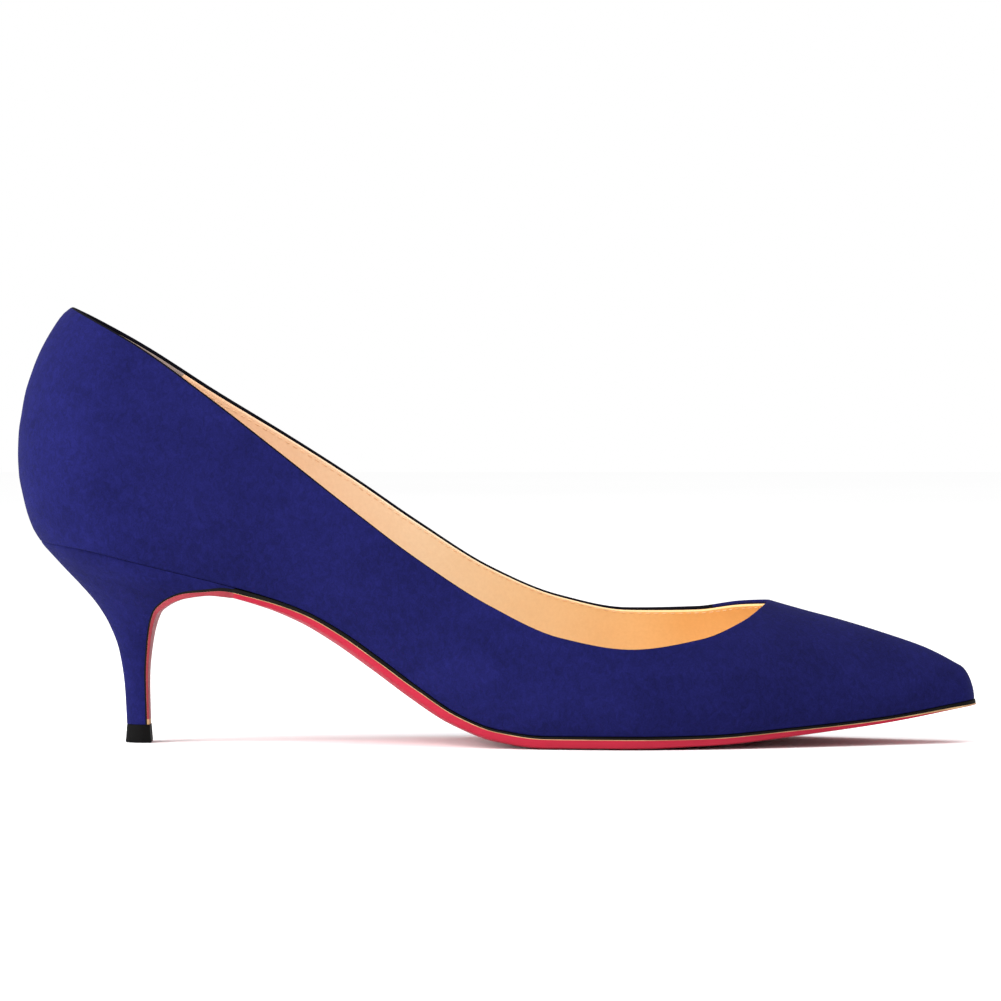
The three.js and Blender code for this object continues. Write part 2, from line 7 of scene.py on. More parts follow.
import bpy
import numpy as np
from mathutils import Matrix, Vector


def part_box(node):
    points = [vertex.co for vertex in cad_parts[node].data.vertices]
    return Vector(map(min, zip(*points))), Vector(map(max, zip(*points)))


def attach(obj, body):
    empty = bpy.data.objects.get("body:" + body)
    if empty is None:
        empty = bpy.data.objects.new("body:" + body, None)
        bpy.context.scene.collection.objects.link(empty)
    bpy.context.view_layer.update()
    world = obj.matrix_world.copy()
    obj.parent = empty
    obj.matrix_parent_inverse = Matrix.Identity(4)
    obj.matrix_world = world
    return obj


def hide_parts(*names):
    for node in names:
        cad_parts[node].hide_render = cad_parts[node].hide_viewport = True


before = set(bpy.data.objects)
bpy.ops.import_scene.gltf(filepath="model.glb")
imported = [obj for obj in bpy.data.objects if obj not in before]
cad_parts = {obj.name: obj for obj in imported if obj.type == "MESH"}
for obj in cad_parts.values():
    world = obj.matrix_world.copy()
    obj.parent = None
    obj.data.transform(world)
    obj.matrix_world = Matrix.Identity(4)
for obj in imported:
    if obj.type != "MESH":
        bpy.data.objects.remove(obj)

LOG = logging.getLogger("pump")
Values = np.ndarray | float
Colour = tuple[float, float, float]
Socket = bpy.types.NodeSocket
Material = bpy.types.Material
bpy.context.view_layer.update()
MM = 0.001
WHITE = (1, 1, 1)


class Side(Enum):
    """The two sides of the shoe, with the sign of Y on each."""

    OUTER = -1
    INNER = 1


# Sizes and tables of the last, as in the part's source


@dataclass(frozen=True)
class Table:
    """A short table with a smooth line through each of its columns."""

    over: str
    columns: dict[str, tuple[float, ...]]

    def at(self, column: str, where: Values) -> np.ndarray:
        """Reads one column at any place.

        Args:
            column: Name of the column.
            where: Places along the table's first column.

        Returns:
            Values on a line that never swings past a row.
        """
        xs = np.array(self.columns[self.over], dtype=float)
        ys = np.array(self.columns[column], dtype=float)
        slopes = np.diff(ys) / np.diff(xs)
        before = np.concatenate((slopes[:1], slopes))
        after = np.concatenate((slopes, slopes[-1:]))
        both = before * after
        total = np.where(both > 0, before + after, 1.0)
        tangents = np.where(both > 0, 2 * both / total, 0.0)
        where = np.asarray(where, dtype=float)
        i = np.clip(np.searchsorted(xs, where) - 1, 0, len(xs) - 2)
        span = xs[i + 1] - xs[i]
        t = np.clip((where - xs[i]) / span, 0, 1)
        rest = 1 - t
        bend = span * t * rest * (tangents[i] * rest - tangents[i + 1] * t)
        return ys[i] * rest * rest * (1 + 2 * t) + ys[i + 1] * t * t * (3 - 2 * t) + bend


BOTTOM = Table("along", {
    "along": (
        0.025, 0.07, 0.15, 0.21, 0.256, 0.3, 0.34, 0.38, 0.42, 0.46, 0.5, 0.55, 0.66, 0.72, 0.8, 0.9, 1,
    ),
    "heel": (
        1, 0.966, 0.868, 0.793, 0.728, 0.648, 0.538, 0.396, 0.245, 0.11, 0.032, 0, 0, 0, 0, 0, 0,
    ),
    "spring": (0, 0, 0, 0, 0, 0, 0, 0, 0, 0, 0, 0, 0, 0.03, 0.21, 0.49, 1),
    "arch": (0, 0, 0, 0, 0.1, 0.5, 0.85, 1, 0.85, 0.5, 0.12, 0, 0, 0, 0, 0, 0),
})
OUTLINE = Table("along", {
    "along": (0, 0.1, 0.2, 0.3, 0.4, 0.5, 0.58, 0.64, 0.7, 0.78, 0.86, 0.93, 0.98, 1),
    "outer": (0.33, 0.33, 0.322, 0.305, 0.335, 0.42, 0.48, 0.5, 0.472, 0.384, 0.272, 0.163, 0.09, 0.07),
    "inner": (0.33, 0.33, 0.312, 0.265, 0.25, 0.342, 0.43, 0.475, 0.475, 0.4, 0.288, 0.174, 0.096, 0.074),
    "outer_swell": (
        0.025, 0.03, 0.04, 0.06, 0.075, 0.062, 0.05, 0.045, 0.042, 0.038, 0.03, 0.02, 0.01, 0.005,
    ),
    "inner_swell": (0.025, 0.03, 0.05, 0.09, 0.12, 0.09, 0.058, 0.048, 0.045, 0.04, 0.03, 0.02, 0.01, 0.005),
})
CREST = Table("along", {
    "along": (0, 0.1, 0.2, 0.3, 0.4, 0.5, 0.6, 0.7, 0.783, 0.816, 0.858, 0.9, 0.942, 0.962, 0.98, 1),
    "height": (2.7, 2.68, 2.64, 2.55, 2.4, 2.18, 1.77, 1.27, 1, 0.906, 0.793, 0.663, 0.506, 0.41, 0.31, 0.2),
})
BACK = Table("up", {
    "up": (0, 0.05, 0.12, 0.2, 0.28, 0.37, 0.46, 0.54, 0.63, 0.71, 0.8, 0.92, 0.97, 1),
    "in": (
        0.0236, 0.0161, 0.0096, 0.0048, 0.0011, 0, 0.0008,
        0.0037, 0.0077, 0.0138, 0.0224, 0.0389, 0.0482, 0.0576,
    ),
})
TOPLINE = Table("along", {
    "along": (0, 0.1, 0.2, 0.3, 0.4, 0.5, 0.6, 0.7, 0.8, 0.9, 0.96, 1),
    "outer": (1, 0.865, 0.694, 0.51, 0.323, 0.145, -0.006, -0.112, -0.15, -0.118, -0.062, 0),
    "inner": (1, 0.866, 0.713, 0.568, 0.416, 0.254, 0.104, 0.004, -0.041, -0.033, -0.009, 0),
})
SOLE = Table("along", {
    "along": (0.21, 0.23, 0.26, 0.3, 0.36, 0.42, 0.48, 0.54, 0.64, 0.7, 0.77, 0.85, 0.92, 1),
    "middle": (0.86, 0.84, 0.96, 1.18, 1.36, 1.3, 1.05, 1, 1, 0.88, 0.8, 0.6, 0.45, 0.4),
    "edge": (0.6, 0.6, 0.6, 0.6, 0.62, 0.64, 0.68, 0.74, 0.74, 0.66, 0.58, 0.46, 0.37, 0.32),
    "flat": (0, 0, 0, 0, 0, 0.2, 0.62, 0.84, 0.84, 0.8, 0.7, 0.55, 0.4, 0.3),
})
HEEL = Table("down", {
    "down": (0, 0.1, 0.2, 0.3, 0.4, 0.5, 0.65, 0.8, 1),
    "back_in": (0, 0.138, 0.298, 0.475, 0.651, 0.799, 0.91, 0.9735, 1),
    "back_up": (1, 0.935, 0.861, 0.781, 0.692, 0.587, 0.458, 0.285, 0.0912),
    "out": (1, 0.851, 0.66, 0.447, 0.211, 0.082, 0.016, -0.011, 0),
    "front_up": (0.778, 0.785, 0.777, 0.765, 0.718, 0.65, 0.51, 0.33, 0.0912),
    "flap": (0.85, 0.8, 0.56, 0.6, 0.58, 0.44, 0.34, 0.28, 0.26),
})
HEEL_WIDTH = Table("under", {
    "under": (0, 0.06, 0.12, 0.19, 0.27, 0.36, 0.48, 0.62, 0.9),
    "wide": (1, 0.945, 0.82, 0.65, 0.485, 0.355, 0.262, 0.21, 0.193),
})

# Heights of the dark ink on the outsole's edge and of the pale line under it, in millimetres.
INK = Table("along", {
    "along": (0.22, 0.27, 0.31, 0.35, 0.4, 0.44, 0.48, 0.55, 0.66, 0.8, 0.9, 0.96, 1),
    "high": (0.7, 0.7, 0.62, 0.72, 0.65, 0.42, 0.32, 0.36, 0.42, 0.4, 0.36, 0.5, 0.75),
    "pale": (0.12, 0.14, 0.16, 0.16, 0.16, 0.16, 0.16, 0.16, 0.16, 0.16, 0.18, 0.35, 0.5),
})


def round_end(share: Values) -> np.ndarray:
    """Rises from 0 to 1 as a quarter circle does, and stays there."""
    t = np.clip(share, 0, 1)
    return np.sqrt(t * (2 - t))


def ease_ends(share: Values) -> np.ndarray:
    """Spaces shares closely at both ends."""
    return (1 - np.cos(np.pi * np.asarray(share))) / 2


def ease_start(share: Values) -> np.ndarray:
    """Spaces shares closely at the start."""
    return 1 - np.cos(np.pi * np.asarray(share) / 2)


def smooth(t: Values) -> Values:
    """Rises from 0 to 1 with level ends."""
    return t * t * (3 - 2 * t)


def lerp(a: Values, b: Values, t: Values) -> Values:
    """Goes from a to b with t."""
    return a + (b - a) * t


def points(x: Values, y: Values, z: Values) -> np.ndarray:
    """Puts three coordinates together as points."""
    x, y, z = np.broadcast_arrays(x, y, z)
    return np.stack((x, y, z), axis=-1).astype(float)


@dataclass(frozen=True)
class Last:
    """The foot form that the whole shoe is worked out from, in millimetres."""

    length: float = 250
    ball_width: float = 74
    seat_height: float = 52.6
    seat_back: float = 5.9
    seat_radius: float = 24.4
    toe_spring: float = 8
    toe_round: float = 3.5
    arch_lift: float = 3
    back_height: float = 113.8
    back_lean: float = 14.4
    vamp_length: float = 54.3
    vamp_height: float = 32.6
    clearance: float = 0.3
    wall: float = 1.7
    margin: float = 11
    toe_margin: float = 24
    forefoot_sole: float = 3.1
    sole_proud: float = 0.3

    @property
    def feather_tip(self) -> float:
        """Front end of the feather line."""
        return self.length - self.sole_proud

    @property
    def throat(self) -> float:
        """Front end of the topline."""
        return self.length - self.vamp_length

    def seat_line(self, x: Values) -> np.ndarray:
        """Height of the feather line."""
        depth = self.forefoot_sole + self.clearance
        heel = BOTTOM.at("heel", x / self.length) * (self.seat_height - depth)
        return depth + heel + BOTTOM.at("spring", x / self.length) * self.toe_spring

    def arch_rise(self, x: Values, y: Values) -> np.ndarray:
        """Extra height of the bottom towards the inner edge of the waist."""
        half = OUTLINE.at("inner", x / self.length) * self.ball_width
        return self.arch_lift * BOTTOM.at("arch", x / self.length) * np.clip(y / half, 0, 1) ** 2

    def over_bottom(self, x: Values, y: Values, height: Values) -> np.ndarray:
        """Points at a height square to the bottom of the last.

        Args:
            x: Places along the shoe.
            y: Places across it.
            height: Heights over the bottom, or under it where negative.

        Returns:
            Points in millimetres.
        """
        step = 0.5
        slope = (self.seat_line(x + step) - self.seat_line(x - step)) / (2 * step)
        size = np.hypot(1, slope)
        z = self.seat_line(x) + self.arch_rise(x, y) + height / size
        return points(x - height * slope / size, y, z)

    def sided(self, stem: str, side: Values, x: Values) -> np.ndarray:
        """Reads the outer or the inner column of the outline by the sign of the side."""
        outer = OUTLINE.at("outer" + stem, x / self.length)
        inner = OUTLINE.at("inner" + stem, x / self.length)
        return np.where(np.asarray(side) < 0, outer, inner)

    def footprint(
        self, side: Values, x: Values, inset: float = 0, tip_inset: float | None = None,
    ) -> np.ndarray:
        """Half width of the bottom, drawn in by an inset.

        Args:
            side: -1 on the outer side, 1 on the inner side.
            x: Places along the shoe.
            inset: How far the edge is drawn in.
            tip_inset: The same at the tip of the toe.

        Returns:
            Half widths.
        """
        tip_inset = inset if tip_inset is None else tip_inset
        core = self.sided("", side, x) * self.ball_width - inset
        back = round_end((x - self.seat_back - inset) / (self.seat_radius - inset))
        return core * back * round_end((self.feather_tip - tip_inset - x) / self.toe_round)

    def crest_line(self, x: Values) -> np.ndarray:
        """Height of the last's ridge."""
        tip = round_end((self.feather_tip - x) / self.toe_round)
        return self.seat_line(x) + CREST.at("height", x / self.length) * self.vamp_height * tip

    def back_line(self, z: Values) -> np.ndarray:
        """Where the back of the upper stands at a height."""
        return self.length * BACK.at("in", (z - self.seat_height) / (self.back_height - self.seat_height))

    def half_width(self, side: Values, x: Values, z: Values) -> np.ndarray:
        """Half width of the upper at a place on its side view."""
        foot = self.seat_line(x) + np.where(np.asarray(side) > 0, self.arch_rise(x, self.ball_width), 0)
        room = np.maximum(self.crest_line(x) - foot, 1e-6)
        rise = np.clip((z - foot) / room, 0, 1)
        core = self.sided("", side, x) * np.sqrt(1 - rise**2)
        swell = self.sided("_swell", side, x) * np.sin(np.pi * rise**0.7)
        tip = round_end((self.feather_tip - x) / self.toe_round)
        return self.ball_width * (core + swell) * tip * round_end((x - self.back_line(z)) / self.seat_radius)

    def upper(self, side: Values, across: Values, up: Values) -> np.ndarray:
        """Points on the outside of the upper.

        Args:
            side: -1 on the outer side, 1 on the inner side.
            across: Share of the way from the back to the toe.
            up: Share of the way from the feather line to the topline.

        Returns:
            Points in millimetres.
        """
        side, across, up = np.broadcast_arrays(side, across, up)

        def feather(p: Values) -> tuple[np.ndarray, np.ndarray]:
            """The lower edge in the side view."""
            x = lerp(self.seat_back, self.feather_tip, p)
            return x, self.seat_line(x) + np.where(side > 0, self.arch_rise(x, self.ball_width), 0)

        def topline(p: Values) -> tuple[np.ndarray, np.ndarray]:
            """The upper edge in the side view."""
            low = self.crest_line(np.array(self.throat))
            drop = np.where(side < 0, TOPLINE.at("outer", p), TOPLINE.at("inner", p))
            return lerp(self.back_lean, self.throat, p), low + drop * (self.back_height - low)

        nought, one = np.zeros_like(up), np.ones_like(up)
        back_z = lerp(self.seat_height, self.back_height, up)
        back = (self.back_line(back_z), back_z)
        vamp_x = self.feather_tip - (self.feather_tip - self.throat) * ease_start(up)
        vamp = (vamp_x, self.crest_line(vamp_x))
        spot = []
        for axis in (0, 1):
            low, high = feather(across)[axis], topline(across)[axis]
            corner = lerp(
                lerp(feather(nought)[axis], feather(one)[axis], across),
                lerp(topline(nought)[axis], topline(one)[axis], across),
                up,
            )
            spot.append(lerp(low, high, up) + lerp(back[axis], vamp[axis], across) - corner)
        inside = (across > 0) & (across < 1)
        y = np.where(inside, self.half_width(side, spot[0], spot[1]), 0)
        return points(spot[0], side * y, spot[1])


# Mesh making

SHIFT = np.array([
    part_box("upper")[0].x,
    (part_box("top_piece")[0].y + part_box("top_piece")[1].y) / 2,
    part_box("top_piece")[0].z,
])


def strip_faces(
    rows: int, columns: int, stack_closes: bool, row_closes: bool = True,
) -> list[tuple[int, ...]]:
    """Quads between neighbouring rows of points.

    Args:
        rows: Number of rows.
        columns: Points in a row.
        stack_closes: Whether the last row joins the first.
        row_closes: Whether each row joins its own ends.

    Returns:
        Faces as point numbers.
    """
    faces = []
    for r in range(rows if stack_closes else rows - 1):
        here, there = r * columns, ((r + 1) % rows) * columns
        for i in range(columns if row_closes else columns - 1):
            k = (i + 1) % columns
            faces.append((here + i, here + k, there + k, there + i))
    return faces


def capped_faces(rows: int, columns: int) -> list[tuple[int, ...]]:
    """Quads of a stack of closed rows, and a face on each end of it.

    Args:
        rows: Number of rows.
        columns: Points in a row.

    Returns:
        Faces as point numbers.
    """
    faces = strip_faces(rows, columns, False)
    faces.append(tuple(reversed(range(columns))))
    faces.append(tuple((rows - 1) * columns + i for i in range(columns)))
    return faces


def normals_of(grid: np.ndarray) -> np.ndarray:
    """Unit normals of a grid whose rows are closed rings.

    Args:
        grid: Rows by columns of points.

    Returns:
        A normal for each point.
    """
    along = np.roll(grid, -1, axis=1) - np.roll(grid, 1, axis=1)
    normal = np.cross(along, np.gradient(grid, axis=0))
    return normal / np.maximum(np.linalg.norm(normal, axis=-1, keepdims=True), 1e-12)


@dataclass
class Piece:
    """One piece of the shoe: a mesh, its finishes and what it stands for."""

    name: str
    verts: np.ndarray
    faces: list[tuple[int, ...]]
    finishes: Sequence[Material]
    slot: str
    node: str | None = None
    which: Sequence[int] | None = None
    sharp_over: float = 40

    def build(self) -> bpy.types.Object:
        """Makes the object, rides it on the shoe and reports it.

        Returns:
            The new object.
        """
        mesh = bpy.data.meshes.new(self.name)
        placed = self.verts.reshape(-1, 3) * MM + SHIFT
        mesh.from_pydata(placed.tolist(), [], self.faces)
        for finish in self.finishes:
            mesh.materials.append(finish)
        mesh.polygons.foreach_set("use_smooth", [True] * len(mesh.polygons))
        if self.which is not None:
            mesh.polygons.foreach_set("material_index", list(self.which))
        mesh.update()
        mesh.set_sharp_from_angle(angle=math.radians(self.sharp_over))
        piece = bpy.data.objects.new(self.name, mesh)
        bpy.context.scene.collection.objects.link(piece)
        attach(piece, "root")
        if self.node:
            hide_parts(self.node)
        LOG.info("%s: %d points, %d faces", self.name, len(mesh.vertices), len(mesh.polygons))
        return piece


# Finishes


def srgb(red: float, green: float, blue: float) -> Colour:
    """Turns a colour of 0 to 255 into linear light."""

    def one(value: float) -> float:
        """Turns one channel."""
        share = value / 255
        return share / 12.92 if share <= 0.04045 else ((share + 0.055) / 1.055) ** 2.4

    return one(red), one(green), one(blue)


class Recipe:
    """A node material that is being put together round its main shader."""

    def __init__(self, name: str) -> None:
        """Starts the material."""
        self.material = bpy.data.materials.new(name)
        self.material.use_nodes = True
        self.tree = self.material.node_tree
        self.shader = self.tree.nodes["Principled BSDF"]

    def node(self, kind: str, **settings: object) -> bpy.types.Node:
        """Adds a node and sets its own options."""
        node = self.tree.nodes.new(kind)
        for key, value in settings.items():
            setattr(node, key, value)
        return node

    def join(self, source: Socket, target: Socket) -> None:
        """Links two sockets."""
        self.tree.links.new(source, target)

    def constants(self, **values: object) -> None:
        """Sets the shader's own sockets, with underscores for the spaces in their names."""
        for key, value in values.items():
            self.shader.inputs[key.replace("_", " ")].default_value = value

    def place(self, stretch: Colour = (1, 1, 1), turn: Colour = (0, 0, 0)) -> Socket:
        """Gives the piece's own coordinates, stretched and turned."""
        source = self.node("ShaderNodeTexCoord")
        mapping = self.node("ShaderNodeMapping")
        mapping.inputs["Scale"].default_value = stretch
        mapping.inputs["Rotation"].default_value = turn
        self.join(source.outputs["Object"], mapping.inputs["Vector"])
        return mapping.outputs["Vector"]

    def along(self, start: float, end: float) -> Socket:
        """Gives 0 to 1 between two places along the shoe, in millimetres of the shared frame."""
        split = self.node("ShaderNodeSeparateXYZ")
        self.join(self.place(), split.inputs["Vector"])
        return self.spread(split.outputs["X"], start * MM, end * MM, (0, 1))

    def noise(
        self, where: Socket, size: float, detail: float = 2, rough: float = 0.5, twist: float = 0,
    ) -> Socket:
        """Adds a noise whose spots are about a size in millimetres.

        Args:
            where: Coordinates.
            size: Size of a spot, in millimetres.
            detail: How many finer layers it has.
            rough: How strong the finer layers are.
            twist: How much the spots are distorted.

        Returns:
            The noise, from 0 to 1.
        """
        noise = self.node("ShaderNodeTexNoise")
        noise.inputs["Scale"].default_value = 1 / (size * MM)
        noise.inputs["Detail"].default_value = detail
        noise.inputs["Roughness"].default_value = rough
        noise.inputs["Distortion"].default_value = twist
        self.join(where, noise.inputs["Vector"])
        return noise.outputs["Fac"]

    def cells(self, where: Socket, size: float) -> Socket:
        """Adds pebbles about a size in millimetres, and gives the distance to their edges."""
        cells = self.node("ShaderNodeTexVoronoi", feature="DISTANCE_TO_EDGE")
        cells.inputs["Scale"].default_value = 1 / (size * MM)
        self.join(where, cells.inputs["Vector"])
        return cells.outputs["Distance"]

    def spread(
        self, value: Socket, low: float, high: float, to: tuple[float, float],
    ) -> Socket:
        """Maps a range onto another."""
        mapper = self.node("ShaderNodeMapRange")
        mapper.inputs["From Min"].default_value = low
        mapper.inputs["From Max"].default_value = high
        mapper.inputs["To Min"].default_value = to[0]
        mapper.inputs["To Max"].default_value = to[1]
        self.join(value, mapper.inputs["Value"])
        return mapper.outputs["Result"]

    def ramp(
        self, value: Socket, stops: Sequence[tuple[float, Colour]],
    ) -> Socket:
        """Colours a value by stops of place and colour."""
        ramp = self.node("ShaderNodeValToRGB")
        elements = ramp.color_ramp.elements
        while len(elements) < len(stops):
            elements.new(0.5)
        for element, (place, colour) in zip(elements, stops):
            element.position = place
            element.color = (*colour, 1)
        self.join(value, ramp.inputs["Fac"])
        return ramp.outputs["Color"]

    def blend(
        self, share: Socket | float, one: object, two: object, kind: str = "MIX",
    ) -> Socket:
        """Mixes two colours.

        Args:
            share: How much of the second colour.
            one: The first colour, or a socket that gives it.
            two: The second colour, or a socket that gives it.
            kind: The way of mixing.

        Returns:
            The mixed colour.
        """
        mix = self.node("ShaderNodeMix", data_type="RGBA", blend_type=kind)
        for value, socket in ((share, mix.inputs[0]), (one, mix.inputs[6]), (two, mix.inputs[7])):
            if isinstance(value, Socket):
                self.join(value, socket)
            elif isinstance(value, tuple):
                socket.default_value = (*value, 1)
            else:
                socket.default_value = value
        return mix.outputs[2]

    def darken(
        self, colour: Socket, value: Socket, tone: Colour,
    ) -> Socket:
        """Takes a colour down to a tone of itself where a value is low."""
        shade = self.ramp(self.spread(value, 0.3, 0.7, (0, 1)), ((0, tone), (1, WHITE)))
        return self.blend(1.0, colour, shade, "MULTIPLY")

    def bump(
        self, height: Socket, depth: float, strength: float,
        under: Socket | None = None,
    ) -> Socket:
        """Adds relief of a depth in millimetres over what lies under it."""
        bump = self.node("ShaderNodeBump")
        bump.inputs["Distance"].default_value = depth * MM
        bump.inputs["Strength"].default_value = strength
        self.join(height, bump.inputs["Height"])
        if under is not None:
            self.join(under, bump.inputs["Normal"])
        return bump.outputs["Normal"]

    def finish(
        self, colour: Socket, rough: Socket, normal: Socket,
    ) -> Material:
        """Joins colour, roughness and relief to the shader and gives the material."""
        self.join(colour, self.shader.inputs["Base Color"])
        self.join(rough, self.shader.inputs["Roughness"])
        self.join(normal, self.shader.inputs["Normal"])
        return self.material


@dataclass(frozen=True)
class Suede:
    """Brushed suede: soft patches, a short nap and a faint bloom at the edges."""

    name: str
    deep: Colour
    middle: Colour
    light: Colour
    patch: float = 17
    nap: float = 1.7
    fibre: float = 0.35
    sheen: float = 0.09

    def material(self) -> Material:
        """Builds the material."""
        recipe = Recipe(self.name)
        where = recipe.place()
        patches = recipe.noise(recipe.place((0.7, 1, 1.3), (0, 0.5, 0)), self.patch, 3, 0.55, 0.6)
        strokes = recipe.noise(recipe.place((1.2, 1.2, 0.9), (0, 0.35, 0)), self.nap, 6, 0.68, 0.9)
        fibres = recipe.noise(where, self.fibre, 3, 0.6)
        base = recipe.ramp(patches, ((0.35, self.deep), (0.5, self.middle), (0.68, self.light)))
        brushed = recipe.ramp(strokes, ((0.36, self.deep), (0.5, self.middle), (0.66, self.light)))
        colour = recipe.blend(0.65, base, brushed)
        speck = recipe.spread(fibres, 0.3, 0.7, (0.72, 1.0))
        speck = recipe.ramp(speck, ((0, (0, 0, 0)), (1, WHITE)))
        colour = recipe.blend(1.0, colour, speck, "MULTIPLY")
        relief = recipe.bump(strokes, 0.16, 0.5)
        relief = recipe.bump(fibres, 0.12, 0.7, relief)
        recipe.constants(
            Specular_IOR_Level=0.06, Sheen_Weight=self.sheen, Sheen_Roughness=0.45,
            Sheen_Tint=(*self.light, 1),
        )
        return recipe.finish(colour, recipe.spread(strokes, 0.2, 0.8, (0.84, 1.0)), relief)


@dataclass(frozen=True)
class Lining:
    """Smooth lining leather with fine pores, in tones that change slowly from back to front."""

    name: str
    back: Colour
    middle: Colour
    front: Colour
    pore: float = 0.55
    rough: tuple[float, float] = (0.42, 0.56)
    shine: float = 0.3

    def material(self) -> Material:
        """Builds the material."""
        recipe = Recipe(self.name)
        where = recipe.place()
        clouds = recipe.noise(recipe.place((0.5, 1, 1)), 14, 4, 0.5, 0.4)
        pores = recipe.cells(where, self.pore)
        grain = recipe.noise(where, 0.9, 4, 0.6)
        # Tones from back to front; for the tan lining and sock the change is painted bounce light, more orange
        # towards the toe.
        tones = ((0, self.back), (0.42, self.middle), (1, self.front))
        colour = recipe.ramp(recipe.along(-70, 50), tones)
        mottle = recipe.ramp(clouds, ((0.3, (0.96, 0.93, 0.89)), (0.7, WHITE)))
        colour = recipe.blend(1.0, colour, mottle, "MULTIPLY")
        colour = recipe.darken(colour, grain, (0.95, 0.93, 0.91))
        relief = recipe.bump(pores, 0.05, 0.35)
        relief = recipe.bump(grain, 0.05, 0.3, relief)
        recipe.constants(Specular_IOR_Level=self.shine)
        return recipe.finish(colour, recipe.spread(grain, 0.2, 0.8, self.rough), relief)


@dataclass(frozen=True)
class SoleLeather:
    """Lacquered sole leather with a faint brushing along the shoe."""

    name: str
    light: Colour
    deep: Colour
    coat: float = 0.03

    def material(self) -> Material:
        """Builds the material."""
        recipe = Recipe(self.name)
        brushing = recipe.noise(recipe.place((0.12, 1, 1)), 1.6, 5, 0.6)
        clouds = recipe.noise(recipe.place(), 22, 3, 0.5, 0.5)
        grain = recipe.noise(recipe.place(), 0.4, 3, 0.6)
        colour = recipe.ramp(clouds, ((0.3, self.deep), (0.7, self.light)))
        colour = recipe.darken(colour, brushing, (0.9, 0.88, 0.88))
        relief = recipe.bump(brushing, 0.03, 0.3)
        relief = recipe.bump(grain, 0.02, 0.3, relief)
        recipe.constants(Specular_IOR_Level=0.12, Coat_Weight=self.coat, Coat_Roughness=0.3)
        return recipe.finish(colour, recipe.spread(brushing, 0.2, 0.8, (0.5, 0.64)), relief)


@dataclass(frozen=True)
class Plain:
    """A dense, slightly uneven surface: edge ink, raw leather, rubber or thread."""

    name: str
    light: Colour
    deep: Colour
    grain: float = 0.5
    relief: float = 0.04
    rough: tuple[float, float] = (0.45, 0.65)
    shine: float = 0.2

    def material(self) -> Material:
        """Builds the material."""
        recipe = Recipe(self.name)
        grain = recipe.noise(recipe.place(), self.grain, 4, 0.6)
        clouds = recipe.noise(recipe.place(), self.grain * 14, 3, 0.5)
        colour = recipe.ramp(clouds, ((0.35, self.deep), (0.65, self.light)))
        colour = recipe.darken(colour, grain, (0.86, 0.86, 0.86))
        recipe.constants(Specular_IOR_Level=self.shine)
        relief = recipe.bump(grain, self.relief, 0.5)
        return recipe.finish(colour, recipe.spread(grain, 0.2, 0.8, self.rough), relief)


@dataclass(frozen=True)
class Finishes:
    """Every finish of the shoe, made once."""

    suede: Material
    # Near-black suede on the fold over the topline: painted shade.
    turned: Material
    cover: Material
    lining: Material
    counter: Material
    sock: Material
    thread: Material
    sole: Material
    flap: Material
    ink: Material
    raw: Material
    rubber: Material

    @classmethod
    def made(cls) -> "Finishes":
        """Builds all the materials."""
        blue = (srgb(16, 17, 63), srgb(21, 22, 75), srgb(27, 28, 88))
        # Tan of the lining and sock: a paler middle and a more orange front, which is painted bounce light
        # inside the toe over the leather's own tan.
        tan_with_bounce_light = (srgb(241, 200, 164), srgb(238, 214, 182), srgb(243, 203, 144))
        taupe = (srgb(152, 138, 132), srgb(146, 132, 126), srgb(140, 126, 120))
        # Near-black suede for the fold over the topline: painted shade along the fold between suede and
        # lining, with almost no sheen so the lit fold stays dark.
        dark = (srgb(8, 7, 14), srgb(12, 11, 20), srgb(17, 15, 29))
        thread = (srgb(240, 200, 160), srgb(222, 176, 134))
        ink = (srgb(19, 18, 16), srgb(13, 12, 11))
        raw = (srgb(196, 160, 118), srgb(160, 122, 84))
        rubber = (srgb(11, 10, 10), srgb(7, 7, 7))
        dull = (0.6, 0.8)
        return cls(
            suede=Suede("blue_suede", *blue).material(),
            turned=Suede("turned_edge_shade", *dark, sheen=0.02).material(),
            cover=Suede("heel_suede", *blue, patch=11, nap=1.8).material(),
            lining=Lining("lining_leather", *tan_with_bounce_light).material(),
            counter=Lining("counter_leather", *taupe, pore=0.35, rough=(0.7, 0.9), shine=0.1).material(),
            sock=Lining("sock_leather", *tan_with_bounce_light).material(),
            thread=Plain("lining_thread", *thread, 0.2, 0.03, dull).material(),
            sole=SoleLeather("sole_lacquer", srgb(166, 31, 53), srgb(157, 27, 48)).material(),
            # The sole's red again, darker and greyer, for the same leather down the heel's breast: painted
            # shade.
            flap=SoleLeather("flap_lacquer_shaded", srgb(142, 50, 58), srgb(132, 45, 53)).material(),
            ink=Plain("edge_ink", *ink, 0.6, 0.05, dull, 0.06).material(),
            raw=Plain("raw_edge", *raw, 0.4, 0.05, dull).material(),
            rubber=Plain("lift_rubber", *rubber, 0.35, 0.04, dull, 0.05).material(),
        )


# Pieces of the shoe


